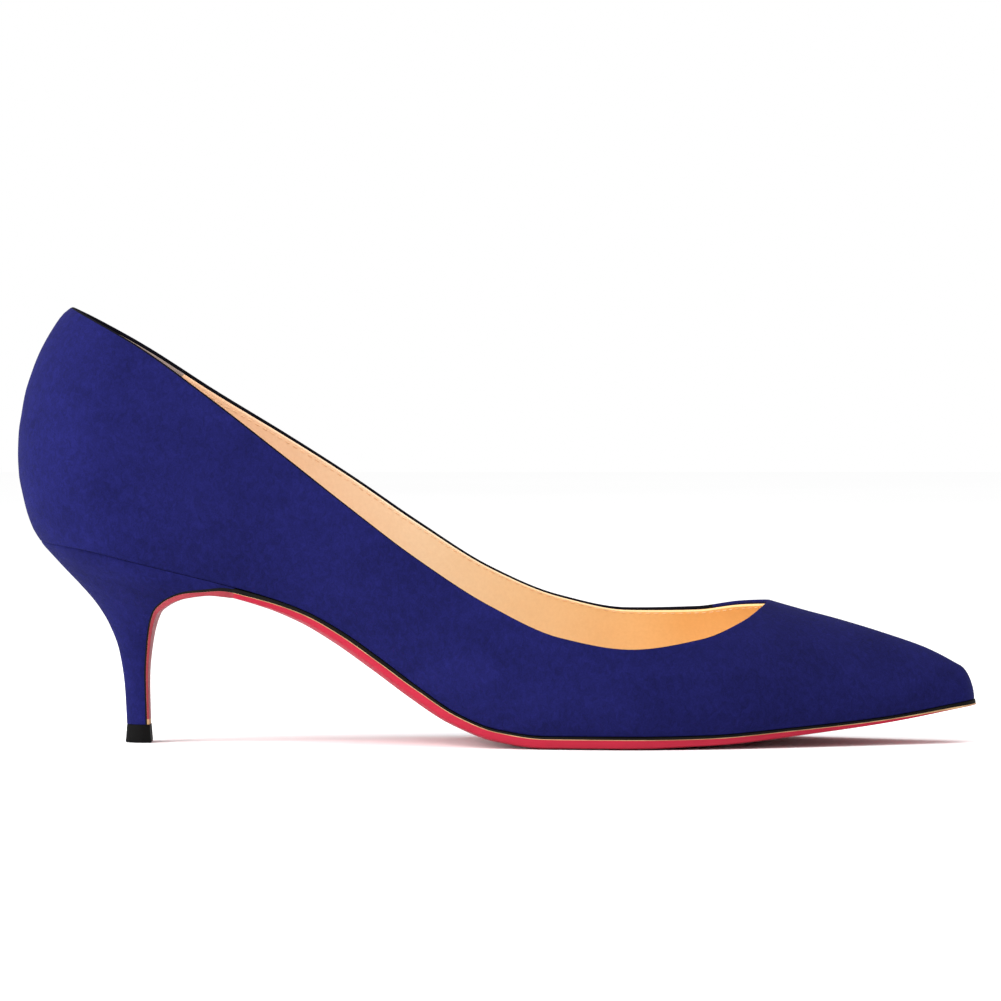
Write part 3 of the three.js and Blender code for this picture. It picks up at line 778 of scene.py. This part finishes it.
@dataclass
class Upper:
    """Suede upper with its turned edge, lining, counter lining and stitches."""

    last: Last
    finishes: Finishes
    steps: int = 130
    seam_columns: tuple[float, ...] = (0.12, 0.24, 0.36, 0.55, 0.8)
    outside_rows: int = 46
    suede: float = 0.9
    turned_round: float = 0.5
    fold_steps: int = 12
    # Share of the fold and share along the ring that bound the painted shade on the topline fold.
    fold_shade_from: float = 0.08
    fold_shade_to: float = 0.93
    feather_round: float = 0.5
    seam_depth: float = 0.16
    counter_share: float = 0.157
    counter_thick: float = 0.25
    stitch_drop: float = 1.55
    stitch_pitch: float = 2.3
    stitch_length: float = 1.5
    stitch_radius: float = 0.15
    foot_steps: tuple[float, ...] = (0, 0.08, 0.2, 0.36)
    foot_drawn: float = 0.12
    tail_drops: tuple[float, float] = (1.0, 1.4)
    hidden_rows: int = 9
    hidden_low: float = 0.08
    lining_drops: tuple[float, ...] = (0.9, 0.68, 0.58, 0.62, 0.78, 1.05)
    lining_depths: tuple[float, ...] = (1.04, 1.06, 1.14, 1.5)
    lining_low: float = 0.09
    lining_count: int = 26
    lining_foot: tuple[float, float] = (4.5, 12)
    lining_back: float = 0.96
    counter_end: float = 0.05
    counter_side: float = 0.12
    counter_sunk: float = 0.1
    shares: np.ndarray = field(init=False)
    sides: np.ndarray = field(init=False)
    spans: np.ndarray = field(init=False)

    def __post_init__(self) -> None:
        """Settles the columns of the ring and how long each one is."""
        base = ease_ends(np.linspace(0, 1, self.steps + 1))
        width = self.last.ball_width * OUTLINE.columns["outer"][0]
        close = (np.array(self.seam_columns) / width) ** 2 * self.last.seat_radius / 2
        close /= self.last.feather_tip - self.last.seat_back
        half = np.unique(np.concatenate((base, close, [self.counter_share])))
        self.shares = np.concatenate((half, half[-2:0:-1]))
        self.sides = np.concatenate((-np.ones(len(half)), np.ones(len(half) - 2)))
        traced = np.stack([self.last.upper(self.sides, self.shares, v) for v in np.linspace(0, 1, 25)])
        self.spans = np.linalg.norm(np.diff(traced, axis=0), axis=-1).sum(axis=0)

    def outside(self, foot: np.ndarray, top: np.ndarray) -> np.ndarray:
        """Rows on the outside of the last.

        Args:
            foot: Share of the height, a row for each ring.
            top: Distances from the topline for each ring, added as a share of each column.

        Returns:
            Rings of points, one row each.
        """
        return np.stack([
            self.last.upper(self.sides, self.shares, np.clip(f + t / self.spans, 0, 1))
            for f, t in zip(foot, top)
        ])

    def frame_at(self, foot: np.ndarray, offset: np.ndarray, depth: np.ndarray) -> np.ndarray:
        """Rows at a depth under the outside.

        Args:
            foot: Share of the height of each ring.
            offset: Distance added to that height, in millimetres.
            depth: Depth of each ring under the outside.

        Returns:
            Rings of points.
        """
        fine = 0.25
        low = self.outside(foot, offset - fine)
        high = self.outside(foot, offset + fine)
        middle = self.outside(foot, offset)
        along = np.roll(middle, -1, axis=1) - np.roll(middle, 1, axis=1)
        normal = np.cross(along, high - low)
        normal /= np.maximum(np.linalg.norm(normal, axis=-1, keepdims=True), 1e-12)
        return middle - normal * depth[:, None, None]

    def ring_at(self, drop: float, depth: float) -> np.ndarray:
        """A ring at a drop from the topline and a depth under the outside."""
        return self.frame_at(np.ones(1), np.array([-drop]), np.array([depth]))[0]

    def bottom(self, inset: float, tip_inset: float, height: float) -> np.ndarray:
        """A ring on the bottom of the last."""
        x = lerp(self.last.seat_back + inset, self.last.feather_tip - tip_inset, self.shares)
        inside = (self.shares > 0) & (self.shares < 1)
        y = np.where(inside, self.last.footprint(self.sides, x, inset, tip_inset), 0)
        return self.last.over_bottom(x, self.sides * y, height)

    def rim(self, depth_centre: float, radius: float, steps: int) -> np.ndarray:
        """The fold over the topline, from outside to inside.

        Args:
            depth_centre: Depth of the fold's centre under the outside.
            radius: Radius of the fold.
            steps: Number of steps round it.

        Returns:
            Rings of points.
        """
        rows = []
        for i in range(steps + 1):
            angle = math.pi * i / steps
            drop = radius * (1 - math.sin(angle))
            depth = depth_centre - radius * math.cos(angle)
            rows.append(self.ring_at(drop, depth))
        return np.stack(rows)

    def make_suede(self) -> None:
        """Builds the suede with its turned edge and its back seam."""
        last, round_ = self.last, self.feather_round
        near = np.array([*self.foot_steps, round_])
        inset = self.foot_drawn * (1 - round_end(near / round_))
        foot = self.frame_at(np.zeros(len(near)), near, inset)
        shares = np.linspace(0, 1, self.outside_rows)[1:]
        offsets = lerp(round_, -self.turned_round, shares)
        wall = self.frame_at(shares, offsets, np.zeros(len(shares)))
        wall = self.seam_groove(np.concatenate((foot, wall)))
        fold = self.rim(self.turned_round, self.turned_round, self.fold_steps)[1:]
        depths = np.array([2 * self.turned_round, self.suede])
        tail = self.frame_at(np.ones(2), -np.array(self.tail_drops), depths)
        back = np.linspace(1, self.hidden_low, self.hidden_rows)
        inner = self.frame_at(back, lerp(-2.2, 1.0, 1 - back), np.full(self.hidden_rows, self.suede))
        under = [self.bottom(self.suede, 2 * self.suede, self.suede)]
        under += [self.bottom(last.margin * s, last.toe_margin * s, self.suede) for s in (0.5, 1)]
        under += [self.bottom(last.margin * s, last.toe_margin * s, 0) for s in (1, 0.5, 0.1)]
        rows = np.concatenate((wall, fold, tail, inner, np.stack(under)))
        faces = strip_faces(len(rows), rows.shape[1], True)
        size = rows.shape[1]
        # Fold rows from the first shaded share on, except near the throat, take the near-black suede: painted
        # shade in the fold between suede and lining.
        first = len(wall) - 1 + round(self.fold_steps * self.fold_shade_from)
        inked = range(first, len(wall) + self.fold_steps + 1)
        which = [
            1 if f // size in inked and self.shares[f % size] < self.fold_shade_to else 0
            for f in range(len(faces))
        ]
        finishes = (self.finishes.suede, self.finishes.turned)
        Piece("upper_suede", rows, faces, finishes, "suede", "upper", which).build()

    def seam_groove(self, wall: np.ndarray) -> np.ndarray:
        """Presses the closed seam into the back of the upper.

        Args:
            wall: Rings on the outside.

        Returns:
            The same rings with a fine groove between two low swellings.
        """
        normal = normals_of(wall)
        at_back = (self.shares < self.counter_share)[None, :]
        away = np.abs(wall[..., 1])
        press = self.seam_depth * np.exp(-((away / 0.22) ** 2)) - 0.06 * np.exp(-(((away - 0.8) / 0.4) ** 2))
        return wall - normal * (press * at_back)[..., None]

    def lining_rows(self) -> tuple[np.ndarray, int]:
        """Rings of the lining, from its edge under the topline down to the bottom and back up.

        Returns:
            The rings, and the number of rings that show.
        """
        wall, deep, foot_insets = self.last.wall, self.lining_back, self.lining_foot
        depths = np.array([*self.lining_depths, wall - 0.02, wall])
        edge = self.frame_at(np.ones(len(depths)), -np.array(self.lining_drops), depths)
        shares = np.linspace(1, self.lining_low, self.lining_count)
        inner = self.frame_at(shares, lerp(-1.4, 0.5, 1 - shares), np.full(self.lining_count, wall))
        foot = np.stack([self.bottom(wall, 2 * wall, wall), self.bottom(*foot_insets, wall + 0.02)])
        under = np.stack([self.bottom(*foot_insets, deep), self.bottom(deep, 1.9, deep)])
        rise = np.linspace(self.hidden_low, 1, self.hidden_rows)
        offsets = lerp(1.0, -1.9, np.linspace(0, 1, self.hidden_rows))
        outer = self.frame_at(rise, offsets, np.full(self.hidden_rows, 0.95))
        return np.concatenate((edge, inner, foot, under, outer)), len(edge) + len(inner)

    def make_lining(self) -> None:
        """Builds the lining, and the counter lining over the back of it."""
        rows, shown = self.lining_rows()
        faces = strip_faces(len(rows), rows.shape[1], True)
        Piece("lining", rows, faces, (self.finishes.lining,), "lining").build()
        count = len(self.shares)
        half = int(np.argmax(self.shares >= self.counter_share))
        columns = [i % count for i in range(-half, half + 1)]
        base = rows[2:shown, columns]
        normal = normals_of(rows[2:shown])[:, columns]
        centre = base.mean(axis=(0, 1))
        if np.mean(np.sum(normal * (centre - base), axis=-1)) < 0:
            normal = -normal
        proud = np.full(base.shape[:2], self.counter_thick)
        proud[[0, -1], :] = self.counter_end
        proud[:, [0, -1]] = self.counter_side
        low = base - normal * self.counter_sunk
        high = base + normal * proud[..., None]
        r, c = base.shape[:2]
        sheet = strip_faces(r, c, False, False)
        faces = [tuple(reversed([i + r * c for i in f])) for f in sheet] + sheet
        border = [*range(c)] + [k * c + c - 1 for k in range(1, r)]
        border += [(r - 1) * c + i for i in range(c - 2, -1, -1)] + [k * c for k in range(r - 2, 0, -1)]
        for i, here in enumerate(border):
            there = border[(i + 1) % len(border)]
            faces.append((here, here + r * c, there + r * c, there))
        verts = np.concatenate((low.reshape(-1, 3), high.reshape(-1, 3)))
        Piece("counter_lining", verts, faces, (self.finishes.counter,), "lining").build()

    def make_stitches(self) -> None:
        """Sews a row of short stitches along the lining's edge."""
        on_counter = self.shares < self.counter_share
        depth = self.last.wall + 0.04
        ring = self.ring_at(self.stitch_drop, depth)
        raised = self.ring_at(self.stitch_drop, depth + self.counter_thick)
        ring = np.where(on_counter[:, None], raised, ring)
        loop = np.concatenate((ring, ring[:1]))
        gone = np.concatenate(([0], np.cumsum(np.linalg.norm(np.diff(loop, axis=0), axis=1))))
        count = int(gone[-1] / self.stitch_pitch)
        verts, faces = [], []
        rings, around = 6, 6
        for k in range(count):
            start = gone[-1] * k / count
            ends = [
                np.array([np.interp(start + s, gone, loop[:, axis]) for axis in range(3)])
                for s in (0, self.stitch_length)
            ]
            way = ends[1] - ends[0]
            way /= np.linalg.norm(way)
            side = np.cross(way, (0.0, 0.0, 1.0))
            side /= np.linalg.norm(side)
            up = np.cross(side, way)
            base = len(verts)
            for i in range(rings):
                t = i / (rings - 1)
                fat = self.stitch_radius * math.sqrt(max(1 - (2 * t - 1) ** 4, 0.04))
                centre = lerp(ends[0], ends[1], t)
                for j in range(around):
                    a = 2 * math.pi * j / around
                    verts.append(centre + fat * (math.cos(a) * side + math.sin(a) * up))
            faces += [tuple(base + i for i in face) for face in capped_faces(rings, around)]
        Piece("collar_stitches", np.array(verts), faces, (self.finishes.thread,), "lining").build()

    def build(self) -> None:
        """Builds all the pieces of the upper."""
        self.make_suede()
        self.make_lining()
        self.make_stitches()


@dataclass
class Sock:
    """The sock lining on its insole."""

    last: Last
    finishes: Finishes
    thick: float = 1.8
    inset: float = 2.1
    tip_inset: float = 9
    edge_round: float = 0.5
    end_share: float = 0.002
    steps: int = 90
    across: int = 20

    def build(self) -> None:
        """Builds the sheet with a rounded edge and a flat middle."""
        last = self.last
        low = last.wall + last.clearance
        rows = []
        shares = ease_ends(np.linspace(0, 1, self.steps + 1))
        for share in lerp(self.end_share, 1 - self.end_share, shares):
            x = lerp(last.seat_back + self.inset, last.feather_tip - self.tip_inset, share)
            outer = -last.footprint(-1, x, self.inset, self.tip_inset)
            inner = last.footprint(1, x, self.inset, self.tip_inset)
            t = ease_ends(np.linspace(0, 1, self.across + 1))
            y = lerp(outer, inner, t)
            near = np.minimum(y - outer, inner - y)
            fall = self.edge_round * (1 - round_end(near / self.edge_round))
            top = last.over_bottom(np.full_like(y, x), y, low + self.thick - fall)
            under = last.over_bottom(np.full_like(y, x), y[::-1], low)
            rows.append(np.concatenate((top, under)))
        rows = np.stack(rows)
        faces = capped_faces(*rows.shape[:2])
        Piece("sock", rows, faces, (self.finishes.sock,), "sock_lining", "insole").build()


@dataclass
class Heel:
    """Suede-covered heel block."""

    last: Last
    finishes: Finishes
    lift_height: float = 4.5
    breast: float = 33.4
    stem_depth: float = 5.1
    wing_reach: float = 24.4
    edge_round: float = 0.16
    seat_lift: float = 0.26
    seat_rows: tuple[float, ...] = (0, 0.006, 0.014, 0.026)
    seat_rounds: tuple[float, ...] = (0, 0.25, 0.6, 1)
    seat_lifts: tuple[float, ...] = (1, 0.75, 0.4, 0.15)
    first_row: float = 0.04
    rows: int = 64
    steps: int = 26

    @property
    def stem_back(self) -> float:
        """Back of the stem at its foot."""
        return self.breast - self.stem_depth

    @property
    def wing_tip(self) -> float:
        """Front of the heel's wings."""
        return self.breast + self.wing_reach

    def seat(self, x: Values) -> np.ndarray:
        """Height of the heel's seat."""
        return self.last.seat_line(x) - self.last.clearance

    def height(self, share: Values) -> np.ndarray:
        """Heights on the heel, from its seat down to the top piece."""
        foot = HEEL.columns["back_up"][-1]
        hold = self.lift_height + self.last.clearance
        return hold + (share - foot) / (1 - foot) * (self.last.seat_height - self.last.clearance - hold)

    def back(self, down: Values) -> np.ndarray:
        """Back edge in the side view."""
        x = lerp(self.last.seat_back, self.stem_back, HEEL.at("back_in", down))
        return np.stack(np.broadcast_arrays(x, self.height(HEEL.at("back_up", down))), axis=-1)

    def front(self, down: Values) -> np.ndarray:
        """Front edge in the side view."""
        x = self.breast + self.wing_reach * HEEL.at("out", down)
        seat = self.seat(np.array(self.wing_tip))
        z = np.where(np.asarray(down) <= 0, seat, self.height(HEEL.at("front_up", down)))
        return np.stack(np.broadcast_arrays(x, z), axis=-1)

    def half_width(self, side: float, x: Values, z: Values) -> np.ndarray:
        """Half width of the heel: round behind, straight in front."""
        last = self.last
        traced = self.back(np.linspace(0, 1, 200))
        back = np.interp(z, traced[::-1, 1], traced[::-1, 0])
        under = np.maximum(self.seat(x) - z, 0) / last.seat_height
        half = last.sided("", side, x) * last.ball_width * HEEL_WIDTH.at("wide", under)
        return half * round_end((x - back) / np.minimum(half, last.seat_radius))

    def row(self, down: float) -> np.ndarray:
        """One section of the heel, from the back round both sides.

        Args:
            down: Share of the way from the seat to the foot.

        Returns:
            The outer half and then the inner half, both from back to front and back again.
        """
        q = ease_start(np.linspace(0, 1, self.steps + 1))
        seat_x = lerp(self.last.seat_back, self.wing_tip, q)
        seat = np.stack((seat_x, self.seat(seat_x)), axis=-1)
        ends = [np.array([x, self.seat(np.array(x))]) for x in (self.last.seat_back, self.wing_tip)]
        q2 = q[:, None]
        foot = lerp(self.back(1.0), self.front(1.0), q2)
        spot = lerp(seat, foot, down) + lerp(self.back(down), self.front(down), q2)
        spot = spot - lerp(lerp(ends[0], ends[1], q2), foot, down)
        halves = []
        for side in (Side.OUTER, Side.INNER):
            y = np.where(q > 0, self.half_width(side.value, spot[:, 0], spot[:, 1]), 0)
            halves.append(points(spot[:, 0], side.value * y, spot[:, 1]))
        return np.concatenate((halves[0], halves[1][:0:-1]))

    def build(self) -> None:
        """Builds the heel with the cover turned in at the seat."""
        downs = np.concatenate((self.seat_rows, np.linspace(self.first_row, 1, self.rows)))
        rows = np.stack([self.row(w) for w in downs])
        middle = rows.mean(axis=1, keepdims=True)
        seat = len(self.seat_rows)
        fall = np.zeros(len(rows))
        fall[:seat] = self.edge_round * (1 - round_end(np.array(self.seat_rounds)))
        way = middle - rows
        way[..., 2] = 0
        way /= np.maximum(np.linalg.norm(way, axis=-1, keepdims=True), 1e-9)
        rows = rows + way * fall[:, None, None]
        rows[:seat, :, 2] += (self.seat_lift * np.array(self.seat_lifts))[:, None]
        faces = capped_faces(*rows.shape[:2])
        Piece("heel_cover", rows, faces, (self.finishes.cover,), "heel_cover", "heel").build()


@dataclass
class TopPiece:
    """The hard lift under the heel's stem."""

    last: Last
    heel: Heel
    finishes: Finishes
    flare: float = 0.35
    chamfer: float = 0.22
    seat_share: float = 0.9
    steps: int = 30

    def build(self) -> None:
        """Builds the lift with its edges eased."""
        heel, high = self.heel, self.heel.lift_height + self.seat_share * self.last.clearance
        front = heel.front(1.0)
        half = float(heel.half_width(-1, np.array(heel.breast), front[1]))
        flap = self.last.forefoot_sole * HEEL.columns["flap"][-1]
        depth = heel.stem_depth + self.last.clearance + flap
        c, bevel = self.chamfer, 0.3 * self.chamfer
        levels = [(high, c), (high - bevel, bevel), (high - c, 0)]
        levels += [(high * share, 0) for share in (0.7, 0.4, 0.2)]
        levels += [(c, 0), (bevel, bevel), (0, c)]
        q = ease_start(np.linspace(0, 1, self.steps + 1))
        rows = []
        for z, inset in levels:
            flare = self.flare * (1 - z / high) - inset
            wide, deep = half + flare, depth + 2 * flare
            x = deep * q
            y = wide * round_end(x / wide)
            outer = points(heel.stem_back - flare + x, -y, z)
            inner = points(heel.stem_back - flare + x, y, z)
            rows.append(np.concatenate((outer, inner[:0:-1])))
        rows = np.stack(rows)
        faces, finishes = capped_faces(*rows.shape[:2]), (self.finishes.rubber,)
        Piece("lift", rows, faces, finishes, "top_piece", "top_piece", sharp_over=50).build()


@dataclass
class Outsole:
    """Thin leather outsole that runs down the breast of the heel."""

    last: Last
    heel: Heel
    finishes: Finishes
    along: int = 150
    down: int = 46
    across: int = 36
    wing_ramp: float = 12
    flap_ink: float = 0.12
    flap_ink_run: float = 0.35
    flap_start: float = 0.21
    flap_edge: float = 0.75
    tip_share: float = 0.0006
    ink_most: float = 0.97
    flap_ink_most: float = 0.7
    pale_most: float = 0.96
    flap_reach: float = 0.95
    foot_reach: float = 0.6
    top_points: int = 9
    raw_end: float = 1.2

    def stations(self) -> list[dict[str, float]]:
        """Sections from the tip of the toe along the bottom and down the breast.

        Returns:
            A row of sizes for each section.
        """
        last, heel = self.last, self.heel
        rows = []
        for i in range(self.along + 1):
            share = lerp(self.tip_share, 1, 1 - math.cos(math.pi * i / self.along / 2))
            x = lerp(last.length, heel.wing_tip, share)
            t = np.clip((self.wing_ramp - (x - heel.wing_tip)) / self.wing_ramp, 0, 1)
            gap = last.clearance * (1 + smooth(t))
            top = last.over_bottom(np.array(x), 0.0, -gap)
            at = x / last.length
            edge = float(SOLE.at("edge", at)) * last.forefoot_sole
            rows.append({
                "x": x, "top_x": top[0], "top_z": top[2], "breast": 0.0, "edge": edge,
                "gap": gap, "pale": float(INK.at("pale", at)),
                "outer": float(last.footprint(-1, np.array(x), -last.sole_proud)),
                "inner": float(last.footprint(1, np.array(x), -last.sole_proud)),
                "middle": float(SOLE.at("middle", at)) * last.forefoot_sole,
                "flat": float(SOLE.at("flat", at)),
                "ink": min(float(INK.at("high", at)), edge * self.ink_most),
            })
        for w in np.linspace(0, 1, self.down + 1)[1:]:
            front = heel.front(w)
            thick = float(HEEL.at("flap", w)) * last.forefoot_sole
            start = float(INK.at("high", self.flap_start))
            ink = lerp(start, self.flap_ink, min(w / self.flap_ink_run, 1))
            rows.append({
                "gap": last.clearance, "pale": 0.02, "edge": thick * self.flap_edge,
                "x": heel.wing_tip, "top_x": front[0], "top_z": front[1], "breast": 1.0,
                "outer": float(heel.half_width(-1, front[0], front[1])),
                "inner": float(heel.half_width(1, front[0], front[1])),
                "middle": thick, "flat": 0.0, "ink": min(ink, thick * self.flap_ink_most),
            })
        return rows

    def section(self, row: dict[str, float], down: np.ndarray) -> np.ndarray:
        """One section: flat top, inked edge, pale line and the rounded underside.

        Args:
            row: Sizes of the section.
            down: Direction square to the sole, in the side view.

        Returns:
            A closed loop of points.
        """
        ink = row["ink"]
        pale = min(ink + row["pale"], row["edge"] * self.pale_most)
        top = np.linspace(-1, 1, self.top_points)
        under = np.sin(np.pi * np.linspace(0.5, -0.5, self.across + 1))
        t = np.maximum(np.abs(under) - row["flat"], 0) / (1 - row["flat"])
        high = -(self.flap_reach if row["breast"] else self.foot_reach) * row["gap"]
        edge_levels = np.array([high + 0.03, (high + ink) / 2, ink, ink + 0.01, pale, pale + 0.02])
        edge_inset = np.array([0.02, -0.04, 0.0, 0.05, 0.05, 0.0])
        wall = np.ones(len(edge_levels))
        etas = np.concatenate((top, wall, under, -wall))
        crown = lerp(row["edge"], row["middle"], np.sqrt(1 - t * t))
        depths = np.concatenate((np.full(len(top), high), edge_levels, crown, edge_levels[::-1]))
        level = np.zeros(len(under))
        insets = np.concatenate((np.zeros(len(top)), edge_inset, level, edge_inset[::-1]))
        half = np.where(etas < 0, row["outer"], row["inner"])
        y = etas * (half - insets * np.minimum(half, 1))
        rise = 0 if row["breast"] else self.last.arch_rise(row["x"], y)
        reach = depths + row["breast"] * self.last.clearance
        return points(row["top_x"] + down[0] * reach, y, row["top_z"] + down[1] * reach + rise)

    def build(self) -> None:
        """Builds the sole with its inked edge, pale line, red underside and raw end."""
        rows = self.stations()
        tops = np.array([(row["top_x"], row["top_z"]) for row in rows])
        loops = []
        for i, row in enumerate(rows):
            way = tops[min(i + 1, len(tops) - 1)] - tops[max(i - 1, 0)]
            way /= np.linalg.norm(way)
            loops.append(self.section(row, np.array([-way[1], way[0]])))
        loops = np.stack(loops)
        size = loops.shape[1]
        faces = capped_faces(len(loops), size)
        red, ink, pale, flap = 0, 1, 2, 3
        bands = [ink] * (self.top_points + 3) + [pale] * 2 + [red] * (self.across + 2) + [pale] * 2 + [ink] * 4
        which = [bands[f % size] for f in range((len(loops) - 1) * size)] + [ink, pale]
        lengths = np.linalg.norm(np.diff(tops, axis=0), axis=1)
        left = np.cumsum(lengths[::-1])[::-1]
        for r, rest in enumerate(left):
            band = slice(r * size, (r + 1) * size)
            # Rows down the heel's breast take the darker copy of the sole's red: painted shade.
            if r >= self.along:
                which[band] = [flap if kind == red else kind for kind in which[band]]
            if rest <= self.raw_end + lengths[-1] / 2:
                which[band] = [kind if kind == ink else pale for kind in which[band]]
        made = self.finishes
        finishes = (made.sole, made.ink, made.raw, made.flap)
        Piece("outsole_leather", loops, faces, finishes, "sole_leather", "outsole", which).build()


# Studio


@dataclass
class Studio:
    """Pale floor, soft lights and the camera."""

    middle_x: float = 0.00086
    distance: float = 1.6
    eye: float = 0.097
    aim: float = 0.0631
    lens: float = 220.5
    floor_end: float = 4.27
    floor_side: float = 6.0
    floor_front: float = 3.0
    floor_drop: float = 0.00002
    floor_counts: tuple[int, int] = (24, 16)
    sensor: float = 36
    lamp_aim: Colour = (0, 0, 0.05)
    lamps: tuple[tuple[str, Colour, float, float], ...] = (
        ("key", (-0.9, -1.3, 1.5), 0.9, 7),
        ("top", (0.7, 0.1, 1.5), 0.9, 9),
        ("heel_box", (-0.6, -0.3, 0.35), 0.5, 7.5),
    )

    def floor(self) -> None:
        """Lays a plain pale floor that ends behind the shoe."""
        count_x, count_y = self.floor_counts
        xs = np.linspace(-self.floor_side, self.floor_side, count_x + 1)
        ys = np.linspace(-self.floor_front, self.floor_end, count_y + 1)
        verts = [(float(x), float(y), -self.floor_drop) for y in ys for x in xs]
        faces = strip_faces(count_y + 1, count_x + 1, False, False)
        mesh = bpy.data.meshes.new("floor")
        mesh.from_pydata(verts, [], faces)
        recipe = Recipe("pale_floor")
        clouds = recipe.noise(recipe.place(), 400, 2)
        colour = recipe.ramp(clouds, ((0.3, (0.965, 0.965, 0.965)), (0.7, (0.975, 0.975, 0.975))))
        relief = recipe.bump(recipe.noise(recipe.place(), 3, 3), 0.02, 0.1)
        recipe.constants(Specular_IOR_Level=0.0)
        mesh.materials.append(recipe.finish(colour, recipe.spread(clouds, 0, 1, (0.9, 1.0)), relief))
        floor = bpy.data.objects.new("floor", mesh)
        bpy.context.scene.collection.objects.link(floor)
        LOG.info("floor: %d faces", len(mesh.polygons))

    def lamp(self, name: str, place: Colour, size: float, power: float) -> None:
        """Hangs a square soft light that faces the shoe."""
        light = bpy.data.lights.new(name, "AREA")
        light.shape = "SQUARE"
        light.size = size
        light.energy = power
        lamp = bpy.data.objects.new(name, light)
        lamp.location = place
        way = Vector(self.lamp_aim) - Vector(place)
        lamp.rotation_euler = way.to_track_quat("-Z", "Y").to_euler()
        bpy.context.scene.collection.objects.link(lamp)
        LOG.info("%s: %.1f W", name, power)

    def world(self, strength: float) -> None:
        """Fills the room with even white light."""
        world = bpy.data.worlds.new("studio")
        world.use_nodes = True
        background = world.node_tree.nodes["Background"]
        background.inputs["Color"].default_value = (1, 1, 1, 1)
        background.inputs["Strength"].default_value = strength
        bpy.context.scene.world = world
        LOG.info("world: strength %.2f", strength)

    def camera(self) -> None:
        """Stands the camera level beside the shoe."""
        data = bpy.data.cameras.new("camera")
        data.lens = self.lens
        data.sensor_width = self.sensor
        data.clip_end = 50
        camera = bpy.data.objects.new("camera", data)
        camera.location = (self.middle_x, -self.distance, self.eye)
        pitch = math.atan2(self.eye - self.aim, self.distance)
        camera.rotation_euler = (math.pi / 2 - pitch, 0, 0)
        bpy.context.scene.collection.objects.link(camera)
        bpy.context.scene.camera = camera
        LOG.info("camera: lens %.1f mm", self.lens)

    def build(self) -> None:
        """Sets up the whole studio."""
        self.camera()
        self.floor()
        self.world(1.0)
        for lamp in self.lamps:
            self.lamp(*lamp)
        bpy.context.scene.view_settings.view_transform = "Standard"


def main() -> None:
    """Builds the studio and the shoe, piece by piece."""
    logging.basicConfig(level=logging.INFO, format="%(name)s: %(message)s")
    Studio().build()
    last = Last()
    finishes = Finishes.made()
    heel = Heel(last, finishes)
    makers = (
        Upper(last, finishes), Sock(last, finishes), Outsole(last, heel, finishes), heel,
        TopPiece(last, heel, finishes),
    )
    for maker in makers:
        maker.build()


if __name__ == "__main__":
    main()
